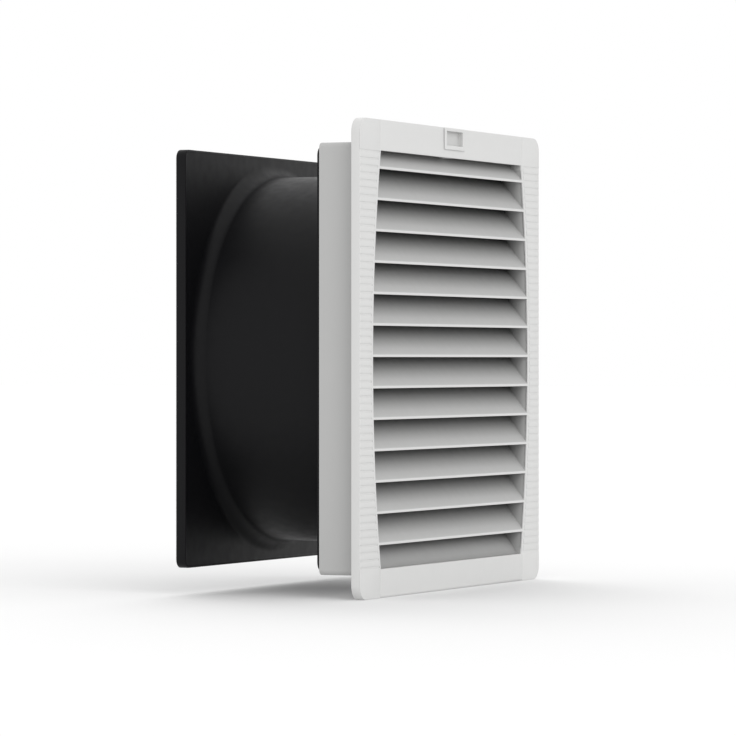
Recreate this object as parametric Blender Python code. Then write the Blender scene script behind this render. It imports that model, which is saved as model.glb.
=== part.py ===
"""Cabinet filter fan: a louvred filter unit for a square panel cut-out, with a ducted axial fan behind it.

The origin is the centre of the cut-out, in the plane of the cabinet's outside surface.
+X points right as seen from outside the cabinet, +Y points into the cabinet, +Z points up.
"""
import math

import bmesh
import bpy
from mathutils import Matrix, Vector
from mathutils.geometry import tessellate_polygon

# Gap left between separate pieces
GAP = 0.0003

# Points closer together than this are one point
WELD = 0.000002

# Sharper edges than this are drawn sharp
SHARP_EDGE = math.radians(35)

# Straight steps round the larger turned parts
DUCT_STEPS = 52
HUB_STEPS = 36
MOTOR_STEPS = 28
SMALL_STEPS = 16

# Cabinet panel
CUTOUT_CLEARANCE = 0.0015
PANEL_THICKNESS_MAX = 0.003

# Mounting flange, which laps the panel round its square cut-out, and the box behind it
FLANGE_SIZE = 0.320
FLANGE_LAP = 0.014
FLANGE_THICKNESS = 0.0065
FLANGE_CORNER_RADIUS = 0.010
FRONT_EDGE_BEVEL = 0.0008
BASE_THICKNESS = 0.0024
BOX_DEPTH = 0.0305
BOX_WALL = 0.0025
BOX_CORNER_RADIUS = 0.0036
BOX_LIP_WIDTH = 0.008
BOX_LIP_THICKNESS = 0.0025
BOSS_WIDTH = 0.014
BOSS_DEPTH = 0.0058

# Ribs across the side strips of the flange
RIB_COUNT = 56
RIB_END_MARGIN = 0.00135
RIB_GROOVE_WIDTH = 0.0011
RIB_GROOVE_DEPTH = 0.0004

# Gasket
GASKET_WIDTH = 0.008
GASKET_THICKNESS = 0.0008
GASKET_EDGE_DISTANCE = 0.0037

# Louvred cover
TOP_BAR_HEIGHT = 0.0207
BOTTOM_BAR_HEIGHT = 0.0194
FIELD_BOX_CLEARANCE = 0.0006
FIELD_SIDE_BOW = 0.0129
COVER_RIM_WIDTH = 0.0026
COVER_JOG_HEIGHT = 0.0028
COVER_CORNER_WALL = 0.0012
COVER_SKIN = 0.0018
COVER_SIDE_GAP = 0.0004
COVER_MAT_GAP = 0.0014
COVER_RIB = 0.0016
LOUVRE_COUNT = 13
LOUVRE_FIRST_DROP = 0.0123
LOUVRE_LAST_DROP = 0.005
LOUVRE_SETBACK = 0.00015
LOUVRE_EDGE_HEIGHT = 0.0014
LOUVRE_SLOPE = 1.24
LOUVRE_THICKNESS = 0.0022
LOUVRE_MAT_GAP = 0.00175
STIFFENER_SPACING = 0.070
STIFFENER_WIDTH = 0.002
STIFFENER_LAP = 0.0015
STIFFENER_TOP_MARGIN = 0.004
STIFFENER_FOOT_MARGIN = 0.012

# Hinge at the foot of the cover
HINGE_PIN_RADIUS = 0.0009
HINGE_PIN_LENGTH = 0.016
HINGE_PIN_IN_COVER = 0.006

# Latch
LATCH_WIDTH = 0.0356
LATCH_HEIGHT = 0.0152
LATCH_PROUD = 0.0011
LATCH_RING = 0.0035
LATCH_RING_BELOW = 0.0029
LATCH_RING_ABOVE = 0.0024
LATCH_NECK_WALL = 0.0008
LATCH_RECESS_FLOOR = 0.0016
LATCH_TRAVEL = 0.0015
LATCH_WING_WIDTH = 0.012
LATCH_WING_LIFT = 0.0035
LATCH_ARM_WIDTH = 0.010
LATCH_ARM_THICKNESS = 0.0015
LATCH_ARM_DROP = 0.0004
LATCH_NOSE_REACH = 0.0029
LATCH_NOSE_DEPTH = 0.0022
LATCH_CATCH_GAP = 0.0009
LATCH_SPRING_THICKNESS = 0.0004
LATCH_SPRING_WIDTH = 0.0075
LATCH_SPRING_FOLDS = 4

# Filter mat and grille
MAT_THICKNESS = 0.0135
MAT_CORNER_RADIUS = 0.004
MAT_EDGE_BEVEL = 0.0015
GRILLE_THICKNESS = 0.003
GRILLE_SLOT_WIDTH = 0.0105
GRILLE_BAR_WIDTH = 0.0020
GRILLE_BORDER_Z = 0.0165
GRILLE_ROW_COUNT = 2
GRILLE_CROSS_BAR = 0.004

# Sprung panel clips
CLIP_WIDTH = 0.016
CLIP_SPACING = 0.140
CLIP_THICKNESS = 0.0008
CLIP_ROOT_INSET = 0.0051
CLIP_BARB_RISE = 0.0023
CLIP_SLOT_HALF_DEPTH = 0.001
CLIP_PANEL_GAP = 0.001

# Fan housing
HOUSING_STEP = 0.0025
HOUSING_CORNER_RADIUS = 0.006
HOUSING_FLANGE_THICKNESS = 0.0022
DUCT_INSET = 0.014
DUCT_WALL = 0.0028
FLARE_RISE = 0.0085
FLARE_LENGTH = 0.0089
REAR_PLATE_Y = 0.131
REAR_PLATE_THICKNESS = 0.0026
REAR_RIM_DEPTH = 0.0064
REAR_RIM_WALL = 0.0025
HOUSING_RIB = 0.002
HOUSING_RIB_GAP = 0.0006
SCREW_INSET = 0.008
SCREW_BOSS_RADIUS = 0.0045

# Rear guard, set in the recess behind the rear plate
GUARD_THICKNESS = 0.0035
GUARD_SIDE_GAP = 0.0005
GUARD_BAND_WIDTH = 0.0055
GUARD_RING_COUNT = 5
GUARD_RING_WIDTH = 0.0026
GUARD_SPOKE_COUNT = 8
GUARD_SPOKE_WIDTH = 0.005
GUARD_SWIRL = math.radians(24)
GUARD_HUB_RADIUS = 0.050
GUARD_LUG_WIDTH = 0.014
GUARD_LUG_THICKNESS = 0.0022
GUARD_SCREW_INSET = 0.012
GUARD_SCREW_LENGTH = 0.0048
GUARD_SCREW_HOLE_FLOOR = 0.0012

# Motor
MOTOR_FLANGE_RADIUS = 0.046
MOTOR_FLANGE_THICKNESS = 0.0057
MOTOR_SCREW_CIRCLE_RADIUS = 0.032
BEARING_OUTER_RADIUS = 0.011
BEARING_INNER_RADIUS = 0.0043
BEARING_WIDTH = 0.007
BEARING_TUBE_RADIUS = 0.014
BEARING_TUBE_BORE = 0.0095
BEARING_TUBE_LENGTH = 0.0457
SHAFT_RADIUS = 0.004
STATOR_RADIUS = 0.038
STATOR_LENGTH = 0.026
AIR_GAP = 0.0005
ROTOR_CORE_WALL = 0.006
ROTOR_BACK_GAP = 0.0022
ROTOR_CAN_WALL = 0.0022
ROTOR_CAN_LENGTH = 0.0495
ROTOR_CAN_FACE = 0.0025
WINDING_HEIGHT = 0.0082

# Impeller
BLADE_COUNT = 7
TIP_GAP = 0.0025
HUB_WALL = 0.0031
HUB_LENGTH = 0.0435
HUB_FACE = 0.0032
HUB_EDGE_RADIUS = 0.006
BLADE_CHORD_ROOT = 0.058
BLADE_CHORD_TIP = 0.078
BLADE_STAGGER_ROOT = math.radians(47)
BLADE_STAGGER_TIP = math.radians(66)
BLADE_CAMBER = 0.08
BLADE_THICKNESS_RATIO = 0.05
BLADE_SWEEP = math.radians(20)
IMPELLER_SCREW_CIRCLE_RADIUS = 0.025

# Terminal compartment in one corner of the housing
TERMINAL_DUCT_GAP = 0.0065
TERMINAL_SCREW_GAP = 0.007
TERMINAL_WALL = 0.002
TERMINAL_CORNER_RADIUS = 0.003
TERMINAL_DEPTH = 0.025
TERMINAL_BLOCK_SIDE_GAP = 0.004
TERMINAL_BLOCK_HEIGHT = 0.011
TERMINAL_BLOCK_STEP = 0.007
TERMINAL_BLOCK_LENGTH = 0.012
TERMINAL_WELL_RADIUS = 0.0018
TERMINAL_WELL_SPACING = 0.62
LID_SCREW_INSET = 0.0035
GROMMET_RADIUS = 0.0055
GROMMET_BORE = 0.0028
GROMMET_LIP = 0.0011
GROMMET_GROOVE = 0.001
LEAD_RADIUS = 0.0016
LEAD_BEND_RADIUS = 0.008
LEAD_TURN_GAP = 0.005
LEAD_END_GAP = 0.004

# Screws
SCREW_RADIUS = 0.0015
SCREW_LENGTH = 0.0075
SCREW_HEAD_RADIUS = 0.0031
SCREW_HEAD_HEIGHT = 0.0024
SUNK_HEAD_RADIUS = 0.003
SUNK_HEAD_HEIGHT = 0.0015
SCREW_STEPS = 10
LID_SCREW_SCALE = 0.7

# Values that follow from those above
HALF_FLANGE = FLANGE_SIZE / 2
FRONT_Y = -FLANGE_THICKNESS
PANEL_CUTOUT = FLANGE_SIZE - 2 * FLANGE_LAP
HALF_BOX = PANEL_CUTOUT / 2 - CUTOUT_CLEARANCE
HALF_BOX_INSIDE = HALF_BOX - BOX_WALL
FIELD_TOP = HALF_FLANGE - TOP_BAR_HEIGHT
FIELD_BOTTOM = -HALF_FLANGE + BOTTOM_BAR_HEIGHT
FIELD_HALF_WIDTH_MIDDLE = HALF_BOX_INSIDE - COVER_RIM_WIDTH - COVER_SIDE_GAP - FIELD_BOX_CLEARANCE
FIELD_HALF_WIDTH_END = FIELD_HALF_WIDTH_MIDDLE - FIELD_SIDE_BOW
RIB_PITCH = (FIELD_TOP - FIELD_BOTTOM - 2 * RIB_END_MARGIN) / RIB_COUNT
LOUVRE_PITCH = (FIELD_TOP - FIELD_BOTTOM - LOUVRE_FIRST_DROP + LOUVRE_LAST_DROP) / LOUVRE_COUNT
COVER_BAR_HALF_WIDTH = FIELD_HALF_WIDTH_END + COVER_CORNER_WALL
COVER_BACK_Y = -BASE_THICKNESS - GAP
COVER_ROLL_RADIUS = (COVER_BACK_Y - FRONT_Y) / 2
HINGE_Y = FRONT_Y + COVER_ROLL_RADIUS
HINGE_Z = -HALF_FLANGE + COVER_ROLL_RADIUS
LIP_Y = BOX_DEPTH - BOX_LIP_THICKNESS
GRILLE_BACK_Y = LIP_Y - GAP
GRILLE_FRONT_Y = GRILLE_BACK_Y - GRILLE_THICKNESS
MAT_BACK_Y = GRILLE_FRONT_Y - GAP
MAT_FRONT_Y = MAT_BACK_Y - MAT_THICKNESS
COVER_DEPTH_BEHIND_FLANGE = MAT_FRONT_Y - COVER_MAT_GAP
LOUVRE_DEPTH = MAT_FRONT_Y - LOUVRE_MAT_GAP - FRONT_Y - LOUVRE_SETBACK
CLIP_ROOT_Y = BOX_DEPTH - CLIP_ROOT_INSET
HOUSING_FRONT_Y = BOX_DEPTH + GAP
HOUSING_FLANGE_BACK_Y = HOUSING_FRONT_Y + HOUSING_FLANGE_THICKNESS
HALF_HOUSING = HALF_BOX - HOUSING_STEP
DUCT_RADIUS = HALF_HOUSING - DUCT_INSET
FLARE_RADIUS = DUCT_RADIUS + FLARE_RISE
REAR_PLATE_BACK_Y = REAR_PLATE_Y + REAR_PLATE_THICKNESS
REAR_RIM_Y = REAR_PLATE_Y + REAR_RIM_DEPTH
GUARD_FRONT_Y = REAR_PLATE_BACK_Y + GAP
GUARD_BACK_Y = GUARD_FRONT_Y + GUARD_THICKNESS
GUARD_LUG_FRONT_Y = GUARD_BACK_Y - GUARD_LUG_THICKNESS
GUARD_RADIUS = HALF_HOUSING - REAR_RIM_WALL - GUARD_SIDE_GAP
GUARD_OPEN_RADIUS = GUARD_RADIUS - GUARD_BAND_WIDTH
MOTOR_BACK_Y = GUARD_FRONT_Y - GAP
MOTOR_FRONT_Y = MOTOR_BACK_Y - MOTOR_FLANGE_THICKNESS
TUBE_FRONT_Y = MOTOR_FRONT_Y - BEARING_TUBE_LENGTH
ROTOR_BACK_Y = MOTOR_FRONT_Y - ROTOR_BACK_GAP
ROTOR_FRONT_Y = ROTOR_BACK_Y - ROTOR_CAN_LENGTH
ROTOR_RADIUS = STATOR_RADIUS + AIR_GAP + ROTOR_CORE_WALL + GAP + ROTOR_CAN_WALL
HUB_INSIDE_RADIUS = ROTOR_RADIUS + GAP
HUB_RADIUS = HUB_INSIDE_RADIUS + HUB_WALL
HUB_FRONT_Y = ROTOR_FRONT_Y - GAP - HUB_FACE
BLADE_TIP_RADIUS = DUCT_RADIUS - DUCT_WALL - TIP_GAP
LATCH_BOTTOM = HALF_FLANGE - LATCH_HEIGHT
LATCH_WING_BOTTOM = LATCH_BOTTOM + LATCH_WING_LIFT
LATCH_PLATE_FRONT = FRONT_Y + COVER_SKIN + GAP
LATCH_PLATE_BACK = COVER_BACK_Y - GAP
LATCH_ARM_LOW = FIELD_TOP - LATCH_ARM_DROP
LATCH_NECK_HALF_WIDTH = LATCH_WIDTH / 2 - LATCH_RING + LATCH_NECK_WALL
LATCH_NECK_BOTTOM = LATCH_BOTTOM + LATCH_RING_BELOW - LATCH_NECK_WALL
LATCH_NECK_TOP = HALF_FLANGE - LATCH_RING_ABOVE + LATCH_NECK_WALL
HOUSING_SCREW_PLACE = HALF_HOUSING - SCREW_INSET
GUARD_SCREW_PLACE = HALF_HOUSING - GUARD_SCREW_INSET
TERMINAL_LOW = DUCT_RADIUS / math.sqrt(2) + TERMINAL_DUCT_GAP
TERMINAL_HIGH = HOUSING_SCREW_PLACE - TERMINAL_SCREW_GAP
TERMINAL_SIZE = TERMINAL_HIGH - TERMINAL_LOW
TERMINAL_CENTRE = (TERMINAL_HIGH + TERMINAL_LOW) / 2
SHAFT_HOLE_RADIUS = SHAFT_RADIUS + GAP
SCREW_HOLE_RADIUS = SCREW_RADIUS + GAP


def clear_scene():
    for obj in list(bpy.data.objects):
        bpy.data.objects.remove(obj, do_unlink=True)


def make_material(name, colour, roughness, metallic=0.0):
    material = bpy.data.materials.new(name)
    material.use_nodes = True
    shader = material.node_tree.nodes["Principled BSDF"]
    shader.inputs["Base Color"].default_value = (*colour, 1.0)
    shader.inputs["Roughness"].default_value = roughness
    shader.inputs["Metallic"].default_value = metallic
    material.diffuse_color = (*colour, 1.0)
    return material


def make_object(name, bm, material=None, smooth_angle=SHARP_EDGE):
    """Turn a bmesh into an object with outward faces."""
    bmesh.ops.recalc_face_normals(bm, faces=bm.faces)
    mesh = bpy.data.meshes.new(name)
    bm.to_mesh(mesh)
    bm.free()
    mesh.shade_smooth()
    mesh.set_sharp_from_angle(angle=smooth_angle)
    obj = bpy.data.objects.new(name, mesh)
    bpy.context.collection.objects.link(obj)
    if material is not None:
        mesh.materials.append(material)
    return obj


def combine(obj, operation, shapes):
    """Join shapes to an object or cut them from it, and keep only the result."""
    for shape in shapes:
        tool = make_object("tool", shape)
        modifier = obj.modifiers.new("combine", "BOOLEAN")
        modifier.operation = operation
        modifier.solver = "EXACT"
        modifier.object = tool
        graph = bpy.context.evaluated_depsgraph_get()
        mesh = bpy.data.meshes.new_from_object(obj.evaluated_get(graph))
        obj.modifiers.clear()
        obj.data = mesh
        bpy.data.objects.remove(tool, do_unlink=True)
        merge_flat_faces(mesh)
    obj.data.set_sharp_from_angle(angle=SHARP_EDGE)
    return obj


def merge_flat_faces(mesh):
    """Weld stray points and join neighbouring faces that lie in one plane."""
    bm = bmesh.new()
    bm.from_mesh(mesh)
    bmesh.ops.remove_doubles(bm, verts=bm.verts, dist=WELD)
    bmesh.ops.dissolve_degenerate(bm, edges=bm.edges, dist=WELD)
    bmesh.ops.dissolve_limit(bm, angle_limit=math.radians(0.05), verts=bm.verts, edges=bm.edges)
    bm.to_mesh(mesh)
    bm.free()


def add(obj, *shapes):
    return combine(obj, "UNION", shapes)


def cut(obj, *shapes):
    return combine(obj, "DIFFERENCE", shapes)


# Outlines in a plane, as lists of (u, v) points

def arc(centre, radius, start, end, steps):
    """Points along a circular arc, both ends included, angles in radians."""
    points = []
    for i in range(steps + 1):
        angle = start + (end - start) * i / steps
        points.append((centre[0] + radius * math.cos(angle), centre[1] + radius * math.sin(angle)))
    return points


def circle(radius, steps, centre=(0, 0)):
    return arc(centre, radius, 0, 2 * math.pi, steps)[:-1]


def rounded_square(half, radius, steps=3, centre=(0, 0)):
    points = []
    for corner in range(4):
        start = corner * math.pi / 2
        inner = half - radius
        sign_u = 1 if corner in (0, 3) else -1
        sign_v = 1 if corner in (0, 1) else -1
        corner_centre = (centre[0] + sign_u * inner, centre[1] + sign_v * inner)
        points += arc(corner_centre, radius, start, start + math.pi / 2, steps)
    return points


def rectangle(low_u, low_v, high_u, high_v):
    return [(low_u, low_v), (high_u, low_v), (high_u, high_v), (low_u, high_v)]


def mirrored(points):
    """The same outline on the other side of the middle."""
    return [(-u, v) for u, v in reversed(points)]


# Solids

def front_plane(u, v, depth):
    return Vector((u, depth, v))


def side_plane(u, v, depth):
    return Vector((depth, u, v))


def plan_plane(u, v, depth):
    return Vector((u, v, depth))


def slab(outline, start, end, holes=(), plane=front_plane, bm=None):
    """A plate with the given outline and holes, from one depth to another."""
    bm = bm or bmesh.new()
    loops = [list(outline)] + [list(hole) for hole in holes]
    flat = [point for loop in loops for point in loop]
    triangles = tessellate_polygon([[Vector((u, v, 0)) for u, v in loop] for loop in loops])
    layers = []
    for depth in (start, end):
        verts = [bm.verts.new(plane(u, v, depth)) for u, v in flat]
        for triangle in triangles:
            bm.faces.new([verts[i] for i in triangle])
        layers.append(verts)
    first = 0
    for loop in loops:
        count = len(loop)
        for i in range(count):
            a = first + i
            b = first + (i + 1) % count
            bm.faces.new([layers[0][a], layers[0][b], layers[1][b], layers[1][a]])
        first += count
    return bm


def block(low, high, bm=None):
    """A box between two corners."""
    return slab(rectangle(low[0], low[2], high[0], high[2]), low[1], high[1], bm=bm)


def ladder_cap(ring, bm):
    """Close a curved end loop with rungs between its two long sides."""
    last = len(ring) - 1
    for i in range(len(ring) // 2 - 1):
        bm.faces.new([ring[i], ring[i + 1], ring[last - i - 1], ring[last - i]])


def loft(loops, closed=False, bm=None, curved_ends=False):
    """Skin a row of loops with equal point counts; a closed row joins its last loop to its first."""
    bm = bm or bmesh.new()
    rings = [[bm.verts.new(point) for point in loop] for loop in loops]
    count = len(rings[0])
    pairs = list(zip(rings, rings[1:]))
    if closed:
        pairs.append((rings[-1], rings[0]))
    for ring in () if closed else (rings[0], rings[-1]):
        if curved_ends:
            ladder_cap(ring, bm)
        else:
            bm.faces.new(ring)
    for ring, following in pairs:
        for i in range(count):
            j = (i + 1) % count
            bm.faces.new([ring[i], ring[j], following[j], following[i]])
    return bm


def square_sleeve(profile, steps=3, centre=(0, 0), bm=None):
    """A square tube whose wall section is a closed list of (half width, corner radius, depth)."""
    loops = []
    for half, radius, depth in profile:
        loops.append([front_plane(u, v, depth) for u, v in rounded_square(half, radius, steps, centre)])
    return loft(loops, closed=True, bm=bm)


def turned(profile, steps, closed=True, bm=None):
    """A solid turned about the Y axis from (radius, depth) points; an open profile ends on the axis."""
    bm = bm or bmesh.new()
    rings = []
    for radius, depth in profile:
        if radius < 1e-9:
            rings.append([bm.verts.new((0, depth, 0))])
        else:
            rings.append([bm.verts.new(front_plane(u, v, depth)) for u, v in circle(radius, steps)])
    pairs = list(zip(rings, rings[1:]))
    if closed:
        pairs.append((rings[-1], rings[0]))
    for ring, following in pairs:
        for i in range(steps):
            j = (i + 1) % steps
            corners = [ring[i % len(ring)], ring[j % len(ring)],
                       following[j % len(following)], following[i % len(following)]]
            unique = list(dict.fromkeys(corners))
            bm.faces.new(unique)
    return bm


def rod(radius, start, end, steps=12, centre=(0, 0)):
    """A round rod along Y."""
    return slab(circle(radius, steps, centre), start, end)


def moved(bm, offset):
    bmesh.ops.translate(bm, verts=bm.verts, vec=Vector(offset))
    return bm


def turned_to_x(bm):
    """Lay a solid made along Y along X instead."""
    bmesh.ops.rotate(bm, verts=bm.verts, cent=(0, 0, 0), matrix=Matrix.Rotation(-math.pi / 2, 3, "Z"))
    return bm


def round_edges(bm, chosen, width, segments=2):
    """Bevel the edges whose two ends pass a test."""
    edges = [edge for edge in bm.edges if all(chosen(vert.co) for vert in edge.verts)
             and edge.calc_face_angle(0) > math.radians(30)]
    bmesh.ops.bevel(bm, geom=edges, offset=width, segments=segments, profile=0.5, affect="EDGES")
    return bm


# Shape of the louvred field: straight top and bottom, bowed sides

def field_half_width(z):
    """Half the width of the louvred field at one height, on a circular arc."""
    half_height = (FIELD_TOP - FIELD_BOTTOM) / 2
    middle = (FIELD_TOP + FIELD_BOTTOM) / 2
    radius = (half_height ** 2 + FIELD_SIDE_BOW ** 2) / (2 * FIELD_SIDE_BOW)
    drop = radius - math.sqrt(radius ** 2 - (z - middle) ** 2)
    return FIELD_HALF_WIDTH_END + FIELD_SIDE_BOW - drop


def field_side(offset, low, high, steps=14):
    """Points up the right side of the field, moved outwards by an offset."""
    heights = [low + (high - low) * i / steps for i in range(steps + 1)]
    return [(field_half_width(z) + offset, z) for z in heights]


def cover_side(gap, low, high):
    """The right edge of the cover from low to high, with its jog round the rim of the field."""
    bar = COVER_BAR_HALF_WIDTH + gap
    turn = gap + COVER_CORNER_WALL / 2
    points = [(bar, low), (bar, FIELD_BOTTOM - turn)]
    points += field_side(COVER_RIM_WIDTH + gap, FIELD_BOTTOM + COVER_JOG_HEIGHT - gap,
                         FIELD_TOP - COVER_JOG_HEIGHT + gap)
    points += [(bar, FIELD_TOP + turn), (bar, high)]
    return points


# Mounting frame

def rib_grooves():
    """V-shaped grooves between the ribs of both side strips."""
    bm = bmesh.new()
    half = RIB_GROOVE_WIDTH / 2
    reach = 0.0002
    top = FIELD_TOP - RIB_END_MARGIN
    for side in (-1, 1):
        ends = sorted((side * (HALF_FLANGE + 0.001), side * (FIELD_HALF_WIDTH_END - 0.001)))
        for i in range(RIB_COUNT + 1):
            z = top - i * RIB_PITCH
            outline = [(FRONT_Y - reach, z - half), (FRONT_Y + RIB_GROOVE_DEPTH, z),
                       (FRONT_Y - reach, z + half)]
            slab(outline, ends[0], ends[1], plane=side_plane, bm=bm)
    return bm


def raised_side(side):
    """One raised side of the flange: a ribbed strip and its two corners."""
    inner = cover_side(COVER_SIDE_GAP, -HALF_FLANGE, HALF_FLANGE)
    corner = HALF_FLANGE - FLANGE_CORNER_RADIUS
    outer = arc((corner, corner), FLANGE_CORNER_RADIUS, math.pi / 2, 0, 4)
    outer += arc((corner, -corner), FLANGE_CORNER_RADIUS, 0, -math.pi / 2, 4)
    outline = inner + outer
    if side < 0:
        outline = mirrored(outline)
    bm = slab(outline, FRONT_Y, -BASE_THICKNESS / 2)
    bmesh.ops.recalc_face_normals(bm, faces=bm.faces)

    def on_outer_front(point):
        distance = max(abs(point.x) - corner, abs(point.z) - corner)
        inside = abs(point.x) < FIELD_HALF_WIDTH_END + FLANGE_CORNER_RADIUS and abs(point.z) < corner
        return point.y < FRONT_Y + 1e-6 and distance > 0 and not inside

    return round_edges(bm, on_outer_front, FRONT_EDGE_BEVEL, segments=1)


def make_mounting_frame(material):
    hole = cover_side(COVER_SIDE_GAP + GAP, -HALF_BOX_INSIDE, HALF_BOX_INSIDE)
    hole = hole + mirrored(hole)
    base = slab(rounded_square(HALF_FLANGE, FLANGE_CORNER_RADIUS, 4), -BASE_THICKNESS, 0, holes=[hole])
    frame = make_object("mounting_frame", base, material)
    lip = HALF_BOX_INSIDE - BOX_LIP_WIDTH
    inside_radius = BOX_CORNER_RADIUS - BOX_WALL
    box = square_sleeve([
        (HALF_BOX, BOX_CORNER_RADIUS, -BASE_THICKNESS / 2),
        (HALF_BOX, BOX_CORNER_RADIUS, BOX_DEPTH),
        (lip, BOX_CORNER_RADIUS, BOX_DEPTH),
        (lip, BOX_CORNER_RADIUS, LIP_Y),
        (HALF_BOX_INSIDE, inside_radius, LIP_Y),
        (HALF_BOX_INSIDE, inside_radius, -BASE_THICKNESS / 2),
    ])
    add(frame, raised_side(1), raised_side(-1), box)
    add(frame, *corner_bosses())
    return cut(frame, *frame_cuts())


def corner_bosses():
    shapes = []
    outer = HALF_BOX_INSIDE + BOX_WALL / 2
    inner = HALF_BOX_INSIDE - BOSS_WIDTH
    for sign_x in (-1, 1):
        for sign_z in (-1, 1):
            xs = sorted((sign_x * inner, sign_x * outer))
            zs = sorted((sign_z * inner, sign_z * outer))
            shapes.append(block((xs[0], BOX_DEPTH - BOSS_DEPTH, zs[0]), (xs[1], BOX_DEPTH - GAP, zs[1])))
    return shapes


def frame_cuts():
    """Everything that is cut out of the mounting frame."""
    shapes = [rib_grooves()]
    outer = HALF_FLANGE - GASKET_EDGE_DISTANCE + GAP
    inner = outer - GASKET_WIDTH - 2 * GAP
    channel = GASKET_THICKNESS + GAP
    shapes.append(slab(rounded_square(outer, FLANGE_CORNER_RADIUS - GASKET_EDGE_DISTANCE, 4), -channel, channel,
                       holes=[rounded_square(inner, BOX_CORNER_RADIUS)]))
    wall = (HALF_BOX_INSIDE - BOX_WALL, HALF_BOX + BOX_WALL)
    half_catch = LATCH_ARM_WIDTH / 2 + 2 * GAP
    catch = (LATCH_NOSE_REACH - LATCH_NOSE_DEPTH - 2 * GAP, LATCH_NOSE_REACH + 2 * GAP)
    shapes.append(block((-half_catch, catch[0], wall[0]), (half_catch, catch[1], wall[1])))
    half_slot = CLIP_WIDTH / 2 + GAP
    for x in (-CLIP_SPACING / 2, CLIP_SPACING / 2):
        for low, high in (wall, (-wall[1], -wall[0])):
            shapes.append(block((x - half_slot, CLIP_ROOT_Y - CLIP_SLOT_HALF_DEPTH, low),
                                (x + half_slot, CLIP_ROOT_Y + CLIP_SLOT_HALF_DEPTH, high)))
    for sign in (-1, 1):
        start = sign * COVER_BAR_HALF_WIDTH
        end = sign * (COVER_BAR_HALF_WIDTH + HINGE_PIN_LENGTH - HINGE_PIN_IN_COVER + 2 * GAP)
        hole = turned_to_x(rod(HINGE_PIN_RADIUS + GAP, min(start, end), max(start, end)))
        shapes.append(moved(hole, (0, HINGE_Y, HINGE_Z)))
    for x in (-HOUSING_SCREW_PLACE, HOUSING_SCREW_PLACE):
        for z in (-HOUSING_SCREW_PLACE, HOUSING_SCREW_PLACE):
            shapes.append(rod(SCREW_HOLE_RADIUS, BOX_DEPTH - BOSS_DEPTH + 0.0005, BOX_DEPTH + 0.001,
                              centre=(x, z)))
    return shapes


def make_flange_gasket(material):
    outer = HALF_FLANGE - GASKET_EDGE_DISTANCE
    inner = outer - GASKET_WIDTH
    ring = slab(rounded_square(outer, FLANGE_CORNER_RADIUS - GASKET_EDGE_DISTANCE, 4), -GASKET_THICKNESS, 0,
                holes=[rounded_square(inner, BOX_CORNER_RADIUS)])
    return make_object("flange_gasket", ring, material)


# Louvred cover

def louvre_section(front_z):
    """Side view of one louvre: a square front edge, then a slope up and back."""
    rise = LOUVRE_SLOPE * LOUVRE_DEPTH
    top = front_z + LOUVRE_EDGE_HEIGHT
    front = FRONT_Y + LOUVRE_SETBACK
    back = front + LOUVRE_DEPTH
    chamfer = (LOUVRE_THICKNESS - LOUVRE_EDGE_HEIGHT) / LOUVRE_SLOPE
    return [(front, front_z), (front, top), (back, top + rise), (back, top + rise - LOUVRE_THICKNESS),
            (front + chamfer, front_z)]


def clip_section(points, limit, keep_above):
    """Keep the part of a section on one side of a height."""
    sign = 1 if keep_above else -1
    kept = []
    for a, b in zip(points, points[1:] + points[:1]):
        inside_a = sign * (a[1] - limit) >= 0
        inside_b = sign * (b[1] - limit) >= 0
        if inside_a:
            kept.append(a)
        if inside_a != inside_b:
            share = (limit - a[1]) / (b[1] - a[1])
            kept.append((a[0] + share * (b[0] - a[0]), limit))
    return kept


def louvre_reach(z):
    """How far a louvre goes sideways: into the rims, or just inside the frame's opening beyond them."""
    if z > FIELD_TOP - COVER_JOG_HEIGHT:
        return FIELD_HALF_WIDTH_END
    return field_half_width(z) + COVER_RIM_WIDTH / 2


def louvre(section, bm):
    """One louvre, with ends that follow the bowed sides."""
    ends = []
    for side in (-1, 1):
        ends.append([side_plane(y, z, side * louvre_reach(z)) for y, z in section])
    return loft(ends, bm=bm)


def louvres():
    """All louvres; the top one ends below the frame, the last rises from behind the bottom bar."""
    bm = bmesh.new()
    top_limit = FIELD_TOP + COVER_RIB / 2
    for i in range(LOUVRE_COUNT + 1):
        front_z = FIELD_TOP - LOUVRE_FIRST_DROP - i * LOUVRE_PITCH
        section = clip_section(louvre_section(front_z), top_limit, keep_above=False)
        section = clip_section(section, FIELD_BOTTOM - COVER_RIB / 2, keep_above=True)
        louvre(section, bm)
    return bm


def stiffeners():
    """Upright ribs across the backs of the louvres."""
    bm = bmesh.new()
    half = STIFFENER_WIDTH / 2
    back = COVER_DEPTH_BEHIND_FLANGE
    front = FRONT_Y + LOUVRE_DEPTH - STIFFENER_LAP
    for x in (-STIFFENER_SPACING, 0, STIFFENER_SPACING):
        block((x - half, front, FIELD_BOTTOM + STIFFENER_FOOT_MARGIN),
              (x + half, back, FIELD_TOP - STIFFENER_TOP_MARGIN), bm)
    return bm


def side_rim(side):
    """The wall beside the louvres, along the bowed side of the field."""
    low = FIELD_BOTTOM + COVER_JOG_HEIGHT
    high = FIELD_TOP - COVER_JOG_HEIGHT
    inner = field_side(0, low, high)
    outer = field_side(COVER_RIM_WIDTH, low, high)
    outline = outer + inner[::-1]
    if side < 0:
        outline = mirrored(outline)
    return slab(outline, FRONT_Y + COVER_SKIN / 2, COVER_DEPTH_BEHIND_FLANGE)


def bar_ribs(low, high):
    """The walls on the back of a cover bar, set a little in from its edges."""
    inset = GAP
    half = COVER_BAR_HALF_WIDTH - inset
    outer = rectangle(-half, low + inset, half, high - inset)
    inner = rectangle(-half + COVER_RIB, low + inset + COVER_RIB, half - COVER_RIB, high - inset - COVER_RIB)
    return slab(outer, FRONT_Y + COVER_SKIN / 2, COVER_BACK_Y, holes=[inner])


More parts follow.
